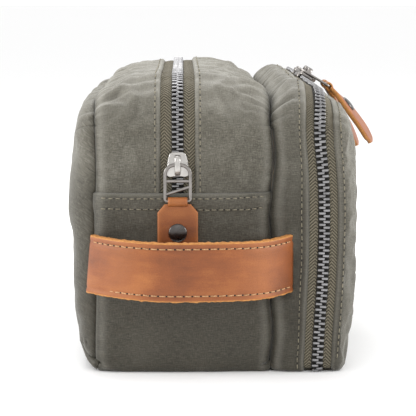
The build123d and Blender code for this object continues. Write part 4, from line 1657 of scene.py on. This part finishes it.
@dataclass
class Place:
    """Axes and origin of a piece of hardware."""

    origin: np.ndarray
    across: np.ndarray
    out: np.ndarray

    @property
    def back(self) -> np.ndarray:
        """The second axis, towards a slider's narrow end or back along a pull."""
        return np.cross(self.out, self.across)

    def put(self, points: np.ndarray) -> np.ndarray:
        """Points given in these axes, in the bag's frame."""
        return np.asarray(points) @ np.stack([self.across, self.back, self.out]) + self.origin

    def moved(self, along: float = 0.0, lift: float = 0.0) -> "Place":
        """The same axes with the origin moved along the second and third."""
        return Place(self.origin + self.back * along + self.out * lift, self.across, self.out)

    def tilted(self, degrees: float) -> "Place":
        """The axes turned about the first one."""
        turn = math.radians(degrees)
        out = self.out * math.cos(turn) - self.back * math.sin(turn)
        return Place(self.origin, self.across, out)


@dataclass(frozen=True)
class HardwareSizes:
    """Sizes of a slider with its ladder pull and leather tab."""

    length: float = 12.5
    narrow: float = 8.4
    wide: float = 12.6
    plate_low: float = 1.0
    plate_high: float = 3.0
    pull_width: float = 13.9
    pull_length: float = 17.6
    rail: float = 0.86
    first_rung: float = 7.8
    slant_rung: float = 12.4
    slant: float = 18.0
    tab_width: float = 19.0
    tab_neck: float = 9.4
    tab_length: float = 40.0
    tab_thick: float = 2.4
    rivet_down: float = 15.2
    pivot: float = 3.5


class Hardware(Part):
    """One slider, its ladder pull and its riveted leather tab."""

    title = "zip hardware"

    def __init__(self, name: str, slider: Place, hinge: Place, tab_tilt: float, curl: float, seed: int,
                 twist: float = 0.0) -> None:
        """Keep where the pieces stand.

        Args:
            name: "main", "side_near" or "side_far".
            slider: the slider's axes, on the canvas.
            hinge: the pull's hinge bar.
            tab_tilt: how much steeper than the pull the tab hangs, in degrees.
            curl: how far the tab curls along its length, in degrees.
            seed: for its small differences.
            twist: how far the tab turns about its own length, in degrees.
        """
        super().__init__()
        self.twist = twist
        self.name = name
        self.slider_place = slider
        self.hinge = hinge
        self.tab_place = hinge.moved(along=-HardwareSizes.pull_length).tilted(tab_tilt)
        self.curl = curl
        self.seed = seed
        self.sizes = HardwareSizes()

    def node(self, kind: str) -> str:
        """The CAD name of one of its pieces."""
        first, _, rest = self.name.partition("_")
        return f"{first}_{kind}" + (f"_{rest}" if rest else "")

    def build(self) -> None:
        """Make all four pieces."""
        self.slider()
        self.ladder()
        self.tab()
        self.rivet()

    def slider(self) -> None:
        """The flared body, its side flanges, lower plate, post and crown."""
        z = self.sizes
        half = z.length / 2
        right = [(z.narrow / 2 - 0.4, half - 0.7), (z.narrow / 2, half - 1.8), (z.narrow / 2 + 0.5, 0.5),
                 (z.wide / 2 - 0.35, -half + 3.6), (z.wide / 2, -half + 2.2), (z.wide / 2 - 0.9, -half + 0.9),
                 (z.wide / 2 - 2.6, -half + 0.1), (1.6, -half + 0.5)]
        outline = [(2.4, half)] + right
        outline = outline + [(-x, y) for x, y in outline[::-1]]
        mould = Mould()
        points, faces = slab(outline[::-1], z.plate_low, z.plate_high, 0.62, 3)
        mould.add(self.slider_place.put(points), faces)
        for sign in (-1, 1):
            flange = [(sign * (z.narrow / 2 + 0.1), half - 1.6), (sign * (z.wide / 2 - 0.5), -half + 2.4),
                      (sign * (z.wide / 2 - 1.6), -half + 2.0), (sign * (z.narrow / 2 - 0.8), half - 1.6)]
            points, faces = slab(flange if sign < 0 else flange[::-1], -1.0, z.plate_low + 0.3, 0.25, 2)
            mould.add(self.slider_place.put(points), faces)
        points, faces = rounded_box((z.narrow, z.length, 1.2), 0.4)
        mould.add(self.slider_place.put(points + np.array([0, 0, -3.1])), faces)
        points, faces = rounded_box((1.0, 3.0, 4.0), 0.2)
        mould.add(self.slider_place.put(points + np.array([0, -3.85, -0.8])), faces)
        lift = z.plate_high
        bridge = [(0, 4.3, lift - 0.6), (0, 4.35, lift + 1.2), (0, 3.9, lift + 2.3), (0, 2.8, lift + 3.0),
                  (0, 1.0, lift + 3.3), (0, -1.0, lift + 3.3), (0, -2.9, lift + 2.9), (0, -4.0, lift + 2.0),
                  (0, -4.5, lift + 0.9), (0, -4.4, lift - 0.6)]
        points, faces = self.crown(bridge)
        mould.add(self.slider_place.put(points), faces)
        metal = Finish.NICKEL if self.name == "main" else Finish.ANTIQUE
        piece = mould.cast(f"{self.node('slider')}_metal", [metal])
        self.keep(piece, [self.node("slider")], "slider_metal", body=f"{self.node('slider')}_body")

    def crown(self, bridge: Sequence[tuple[float, float, float]]) -> tuple[np.ndarray, list]:
        """The strap over the slider that holds the pull: a flat bar with rounded edges.

        Args:
            bridge: its middle line.

        Returns:
            Points and faces.
        """
        line = np.array(bridge, float)
        ahead = unit(np.gradient(line, axis=0))
        over = unit(np.cross(np.array([1.0, 0, 0]), ahead))
        section = [(1.4, 0.25), (1.05, 0.6), (-1.05, 0.6), (-1.4, 0.25), (-1.4, -0.25), (-1.05, -0.6),
                   (1.05, -0.6), (1.4, -0.25)]
        rings = np.stack([line + np.array([x, 0, 0]) + over * h for x, h in section], 1)
        count, sides = rings.shape[:2]
        faces = []
        for r in range(count - 1):
            for c in range(sides):
                faces.append((r * sides + c, r * sides + (c + 1) % sides, (r + 1) * sides + (c + 1) % sides,
                              (r + 1) * sides + c))
        faces.append(tuple(range(sides))[::-1])
        faces.append(tuple(range((count - 1) * sides, count * sides)))
        return rings.reshape(-1, 3), faces

    def ladder(self) -> None:
        """The wire-like ladder pull: an arched frame with a level rung and a slanted one."""
        z = self.sizes
        half = z.pull_width / 2 - z.rail
        top, foot = 0.0, -z.pull_length
        arch = 4.6
        angles = np.linspace(0, math.pi / 2, 9)
        left = [(-half + arch * (1 - math.cos(a)), top - arch + arch * math.sin(a)) for a in angles]
        right = [(-x, y) for x, y in left[::-1]]
        small = 1.2
        low_right = [(half - small * (1 - math.cos(a)), foot + small - small * math.sin(a))
                     for a in np.linspace(0, math.pi / 2, 5)]
        low_left = [(-x, y) for x, y in low_right[::-1]]
        corners = left + right + low_right + low_left
        route = []
        for (x0, y0), (x1, y1) in zip(corners, corners[1:] + corners[:1]):
            steps = max(1, int(math.hypot(x1 - x0, y1 - y0) / 1.5))
            route += [(x0 + (x1 - x0) * i / steps, y0 + (y1 - y0) * i / steps, 0.0) for i in range(steps)]
        mould = Mould()
        points, faces = tube(np.array(route), z.rail, 12, 0.82, closed=True)
        mould.add(self.hinge.put(points), faces)
        bars = [((-half, -z.first_rung), (half, -z.first_rung))]
        rise = half * math.tan(math.radians(z.slant))
        bars.append(((-half, -z.slant_rung - rise), (half, -z.slant_rung + rise)))
        for (x0, y0), (x1, y1) in bars:
            line = np.linspace((x0, y0, 0), (x1, y1, 0), 9)
            points, faces = tube(line, 0.78, 12, 0.78)
            mould.add(self.hinge.put(points), faces)
        piece = mould.cast(f"{self.node('pull')}_metal", [Finish.ANTIQUE])
        self.keep(piece, [self.node("pull")], "slider_metal", body=f"{self.node('pull')}_body")

    def tab_frame(self, s: np.ndarray) -> tuple[np.ndarray, np.ndarray, np.ndarray]:
        """The tab's middle line.

        Args:
            s: distance from the end bar.

        Returns:
            Place along the second axis, along the third, and the angle turned.
        """
        fine = np.linspace(0, self.sizes.tab_length, 200)
        bend = np.radians(self.curl) * (fine / self.sizes.tab_length - 0.45)
        step = fine[1] - fine[0]
        back = -np.concatenate([[0], np.cumsum(np.cos(bend[:-1]) * step)])
        lift = -np.concatenate([[0], np.cumsum(np.sin(bend[:-1]) * step)])
        return np.interp(s, fine, back), np.interp(s, fine, lift), np.interp(s, fine, bend)

    def tab(self) -> None:
        """The leather tab, folded round the end bar and cut square at the neck."""
        z = self.sizes
        s = np.concatenate([np.linspace(1.3, 9, 14), np.linspace(10, 31, 18),
                            np.linspace(31.8, z.tab_length, 22)])
        shoulder = np.interp(s, [0, 1.4, 5.4, 99], [6.2, 6.4, z.tab_width / 2 + 0.3, z.tab_width / 2 + 0.3])
        rounding = np.clip((s - 31.5) / 8.5, 0, 1)
        half = shoulder - (z.tab_width / 2 - 1.2) * (1 - np.sqrt(np.clip(1 - rounding ** 2, 0, 1)))
        c = np.linspace(-1, 1, 21)
        back, lift, bend = self.tab_frame(s)
        x = half[:, None] * c[None]
        cup = Ripple(self.seed, 30, 26).at(x, s[:, None]) * 0.25
        out = np.stack([0 * s, -np.sin(bend), np.cos(bend)], -1)
        round_over = -0.45 * np.abs(c[None]) ** 10
        grid = places(x, back[:, None], lift[:, None])
        grid = grid + out[:, None] * (z.tab_thick / 2 + cup + round_over)[..., None]
        tail = near(s, z.tab_length, 0.9)[:, None]
        grid = grid - out[:, None] * (0.45 * tail * (1 - np.abs(c[None]) ** 10))[..., None]
        flat = np.stack([x * 1.0 + 37.0 * self.seed, np.broadcast_to(s[:, None], x.shape), 0 * x], -1)
        wear = 0.55 * np.abs(c[None]) ** 8 + 0.35 * near(s, 4.5, 4.0)[:, None] + 0.3 * near(
            s, z.tab_length, 2.5)[:, None]
        mould = Mould()
        turn = np.radians(self.twist) * ease((s - 4.0) / 16.0)[:, None]
        centre = np.stack([0 * s, back, lift], -1)[:, None]
        arm = grid - centre
        along_out = (arm * out[:, None]).sum(-1)
        grid = (centre + out[:, None] * (along_out * np.cos(turn) + arm[..., 0] * np.sin(turn))[..., None]
                + (arm - out[:, None] * along_out[..., None] - np.array([1.0, 0, 0]) * arm[..., :1])
                + np.array([1.0, 0, 0]) * (arm[..., 0] * np.cos(turn) - along_out * np.sin(turn))[..., None])
        placed = self.tab_place.put(grid.reshape(-1, 3)).reshape(grid.shape)
        add_sheet(mould, placed, z.tab_thick, flat, wear=wear, flip=True, rim=1)
        angles = np.linspace(-math.pi / 2, math.pi / 2, 13)
        xs = np.linspace(-z.tab_neck / 2, z.tab_neck / 2, 9)
        loop = [(2.05 * math.cos(a), 2.05 * math.sin(a)) for a in angles]
        curve = np.array([(-2.4, -1.45), (-1.3, -1.9)] + loop + [(-1.3, 1.9), (-2.4, 1.45)])
        rows = np.stack([np.stack([np.full(len(xs), 0.0) + xs, np.full(len(xs), y), np.full(len(xs), h)], -1)
                         for y, h in curve])
        placed = self.tab_place.put(rows.reshape(-1, 3)).reshape(rows.shape)
        fold_flat = np.stack([rows[..., 0] + 37.0 * self.seed, rows[..., 1] - 4, 0 * rows[..., 0]], -1)
        add_sheet(mould, placed, 0.9, fold_flat, wear=np.full(rows.shape[:2], 0.4), flip=True, rim=1)
        piece = mould.cast(f"{self.node('tab')}_leather", [Finish.LEATHER, Finish.LEATHER_EDGE])
        self.keep(piece, [self.node("tab")], "leather", body=f"{self.node('tab')}_body")

    def rivet(self) -> None:
        """Domed caps on both faces of the tab."""
        z = self.sizes
        dome = turned([(0, -0.1), (4.35, -0.1), (4.5, 0.15), (4.45, 0.5), (4.0, 0.85), (3.2, 1.1),
                       (2.0, 1.32), (1.0, 1.4), (0, 1.42)], 40)
        back, lift, bend = self.tab_frame(np.array([z.rivet_down]))
        spot = self.tab_place.moved(along=float(back[0]), lift=float(lift[0]))
        spot = spot.tilted(math.degrees(float(bend[0])))
        turn = math.radians(self.twist) * float(ease(np.array((z.rivet_down - 4.0) / 16.0)))
        spot = Place(spot.origin, spot.across * math.cos(turn) + spot.out * math.sin(turn),
                     spot.out * math.cos(turn) - spot.across * math.sin(turn))
        mould = Mould()
        mould.add(spot.moved(lift=z.tab_thick / 2).put(dome[0]), dome[1])
        flipped = dome[0] * np.array([1, 1, -0.3])
        mould.add(spot.moved(lift=-z.tab_thick / 2).put(flipped), [face[::-1] for face in dome[1]])
        piece = mould.cast(f"{self.node('rivet')}_metal", [Finish.RIVET])
        self.keep(piece, [self.node("rivet")], "rivet_metal", body=f"{self.node('tab')}_body")


def all_hardware() -> list[Hardware]:
    """The main slider and the two side sliders, in their places."""
    z = HardwareSizes
    x_axis, y_axis = np.array([1.0, 0, 0]), np.array([0, 1.0, 0])
    main = Place(np.array([SIZES.zip_x, -SIZES.half_length, 103.0]), x_axis, -y_axis)
    sets = [Hardware("main", main, main.moved(lift=z.pivot), 0.0, 5.0, 1)]
    sine = (SIZES.side_zip_x - 31.0) / 40.0
    cosine = math.sqrt(1 - sine ** 2)
    normal = np.array([sine, 0, cosine])
    across = np.array([cosine, 0, -sine])
    for end, sign, tab_slope, curl, twist in (("near", -1, 51.0, 18.0, 11.0), ("far", 1, 61.0, 10.0, 10.0)):
        face = np.array([SIZES.side_zip_x, sign * 11.0, 104.5 + 40.0 * cosine])
        slope = math.radians(31.0)
        pull_out = np.array([math.sin(slope), 0, math.cos(slope)])
        hinge = Place(face + normal * z.pivot - across * 4.4, y_axis, pull_out)
        sets.append(Hardware(f"side_{end}", Place(face, across * sign, normal), hinge, tab_slope - 31.0, curl,
                             2 + (sign > 0), twist))
    return sets


# ---------------------------------------------------------------- carry strap


class CarryStrap(Part):
    """The thick leather strap across the near end."""

    title = "carry strap"

    def __init__(self) -> None:
        """Set the strap's line in plan."""
        super().__init__()
        self.line = self.bowed(-58.6, 37.4, -123.6, 27.2)
        self.low, self.high, self.thick = 40.0, 68.4, 3.5

    @staticmethod
    def bowed(left: float, right: float, start: float, reach: float) -> np.ndarray:
        """A bowed line in plan, evenly stepped.

        Args:
            left: X of one end.
            right: X of the other.
            start: Y of both.
            reach: how far the middle stands out.

        Returns:
            The points.
        """
        way = np.linspace(-1, 1, 400)
        points = np.stack([(left + right) / 2 + way * (right - left) / 2,
                           start - reach * (1 - np.abs(way) ** 2.5)], -1)
        run = np.concatenate([[0], np.cumsum(np.linalg.norm(np.diff(points, axis=0), axis=1))])
        even = spread(0, run[-1], 1.4)
        return np.stack([np.interp(even, run, points[:, 0]), np.interp(even, run, points[:, 1])], -1)

    def build(self) -> None:
        """Make the leather and its two rows of stitches."""
        ahead = unit(np.gradient(self.line, axis=0))
        out = np.stack([ahead[:, 1], -ahead[:, 0]], -1)
        run = np.concatenate([[0], np.cumsum(np.linalg.norm(np.diff(self.line, axis=0), axis=1))])
        wave = Ripple(201, 60, 50)
        half, mid = self.thick / 2, (self.low + self.high) / 2
        tall = (self.high - self.low) / 2
        rise = spread(-tall + 0.7, tall - 0.7, 1.1)
        section = [(half - 0.25, -tall + 0.12)] + [(half, h) for h in rise] + [(half - 0.25, tall - 0.12)]
        section += [(half - 0.8, tall), (-half + 0.8, tall), (-half + 0.25, tall - 0.12)]
        section += [(-half, h) for h in rise[::-1]]
        section += [(-half + 0.25, -tall + 0.12), (-half + 0.8, -tall), (half - 0.8, -tall)]
        section = np.array(section)
        sides = len(section)
        count = len(self.line)
        sway = 0.35 * wave.at(run, 0 * run)
        groove = -0.35 * (near(np.abs(section[:, 1]), tall - 3.0, 0.7)) * (section[:, 0] > half - 0.1)
        offset = section[None, :, 0] + groove[None]
        x = self.line[:, None, 0] + out[:, None, 0] * offset
        y = self.line[:, None, 1] + out[:, None, 1] * offset
        rough = 0.24 * Ripple(202, 2.4, 3.0).at(run[:, None], section[None, :, 1] * 3)
        edge = (np.abs(section[None, :, 1]) > tall - 0.2)
        z = mid + section[None, :, 1] + sway[:, None] + rough * edge
        splay = 2.4 * near(run, 0.0, 14.0)[:, None] * (z - self.high) / (2 * tall)
        rings = np.stack([x + splay, y, z], -1)
        faces, slots = [], []
        for r in range(count - 1):
            for c in range(sides):
                a, b = r * sides + c, r * sides + (c + 1) % sides
                faces.append((a, b, b + sides, a + sides))
                raw = abs(section[c, 1]) > tall - 0.75 and abs(section[(c + 1) % sides, 1]) > tall - 0.75
                slots.append(1 if raw else 0)
        faces.append(tuple(range(sides))[::-1])
        faces.append(tuple(range((count - 1) * sides, count * sides)))
        slots += [1, 1]
        flat = places(run[:, None], section[None, :, 1], section[None, :, 0])
        bends = near(run, 24, 12) + near(run, run[-1] - 24, 12)
        wear = 0.30 * bends[:, None] + 0.40 * near(np.abs(section[None, :, 1]), tall, 1.0)
        mould = Mould()
        mould.add(rings.reshape(-1, 3), [face[::-1] for face in faces], slots, flat, wear + 0 * x)
        piece = mould.cast("carry_strap_leather", [Finish.LEATHER, Finish.LEATHER_EDGE])
        self.keep(piece, ["carry_strap"], "leather")
        rows = Mould()
        for height in (self.high - 3.0, self.low + 3.0):
            steps = spread(4.0, run[-1] - 4.0, 4.0)
            place = np.stack([np.interp(steps, run, self.line[:, 0]), np.interp(steps, run, self.line[:, 1]),
                              height + np.interp(steps, run, sway)], -1)
            way = places(np.interp(steps, run, ahead[:, 0]), np.interp(steps, run, ahead[:, 1]), 0)
            outward = np.stack([way[:, 1], -way[:, 0], 0 * steps], -1)
            frames = np.stack([np.cross(way, outward), way, outward, place + outward * (half - 0.12)], 1)
            stitch_row(rows, frames, 2.9, 0.30, jitter=211)
        self.keep(rows.cast("carry_strap_stitches", [Finish.CREAM_THREAD, Finish.HOLE]), [], "leather")


# ---------------------------------------------------------------- studio


@dataclass
class Studio:
    """White floor, soft lights and the camera."""

    floor: float = 0.89
    sky: float = 1.10
    top_light: float = 7.0
    side_light: float = 11.0
    field_of_view: float = 14.644
    camera: tuple[float, float, float] = (-0.01502, -0.90436, 0.1839)
    aim: tuple[float, float, float] = (-0.0028, -0.125, 0.0817)

    def lamp(self, name: str, place: Sequence[float], aim: Sequence[float], size: float,
             power: float) -> None:
        """Add a square soft light.

        Args:
            name: its name.
            place: where it hangs, in metres.
            aim: what it points at.
            size: its side.
            power: in watts.
        """
        light = bpy.data.lights.new(name, "AREA")
        light.size = size
        light.energy = power
        lamp = bpy.data.objects.new(name, light)
        lamp.location = place
        lamp.rotation_euler = (Vector(aim) - Vector(place)).to_track_quat("-Z", "Y").to_euler()
        bpy.context.scene.collection.objects.link(lamp)

    def build(self) -> None:
        """Set the scene."""
        scene = bpy.context.scene
        world = bpy.data.worlds.new("white_room")
        world.use_nodes = True
        backdrop = world.node_tree.nodes["Background"]
        backdrop.inputs["Color"].default_value = (1.0, 1.0, 1.0, 1.0)
        backdrop.inputs["Strength"].default_value = self.sky
        scene.world = world
        shade = Shade("white_floor")
        paper = shade.finish(Base_Color=(self.floor, self.floor, self.floor), Roughness=0.9,
                             Specular_IOR_Level=0.1)
        mesh = bpy.data.meshes.new("floor")
        reach = 30.0
        mesh.from_pydata([(-reach, -reach, 0), (reach, -reach, 0), (reach, reach, 0), (-reach, reach, 0)], [],
                         [(0, 1, 2, 3)])
        mesh.materials.append(paper)
        floor = bpy.data.objects.new("floor", mesh)
        scene.collection.objects.link(floor)
        self.lamp("top_softbox", (-0.12, 0.42, 1.10), (0, 0, 0.1), 0.6, self.top_light)
        self.lamp("front_fill", (0.1, -1.6, 0.9), (0, -0.1, 0.08), 0.8, self.top_light * 0.22)
        self.lamp("left_glow", (-1.3, -0.10, 0.55), (-0.07, 0, 0.08), 0.5, self.side_light)
        self.lamp("right_glow", (1.3, -0.10, 0.55), (0.07, 0, 0.08), 0.5, self.side_light)
        scene.view_settings.view_transform = "Standard"
        lens = bpy.data.cameras.new("camera")
        lens.sensor_fit = "HORIZONTAL"
        lens.angle = math.radians(self.field_of_view)
        lens.clip_start, lens.clip_end = 0.05, 100.0
        camera = bpy.data.objects.new("camera", lens)
        camera.location = self.camera
        camera.rotation_euler = (Vector(self.aim) - Vector(self.camera)).to_track_quat("-Z", "Y").to_euler()
        scene.collection.objects.link(camera)
        scene.camera = camera


def main() -> None:
    """Build the bag, one sub-assembly after another."""
    main_compartment = MainCompartment()
    side_compartment = SideCompartment()
    parts: list[Part] = [main_compartment, MainZip(main_compartment), side_compartment, Lid(side_compartment),
                         SideZip(side_compartment), *all_hardware(), CarryStrap()]
    for part in parts:
        part.build()
        log.info("%s finished: %d pieces", part.title, len(part.pieces))
    Studio().build()
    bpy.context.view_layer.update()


if __name__ == "__main__":
    main()
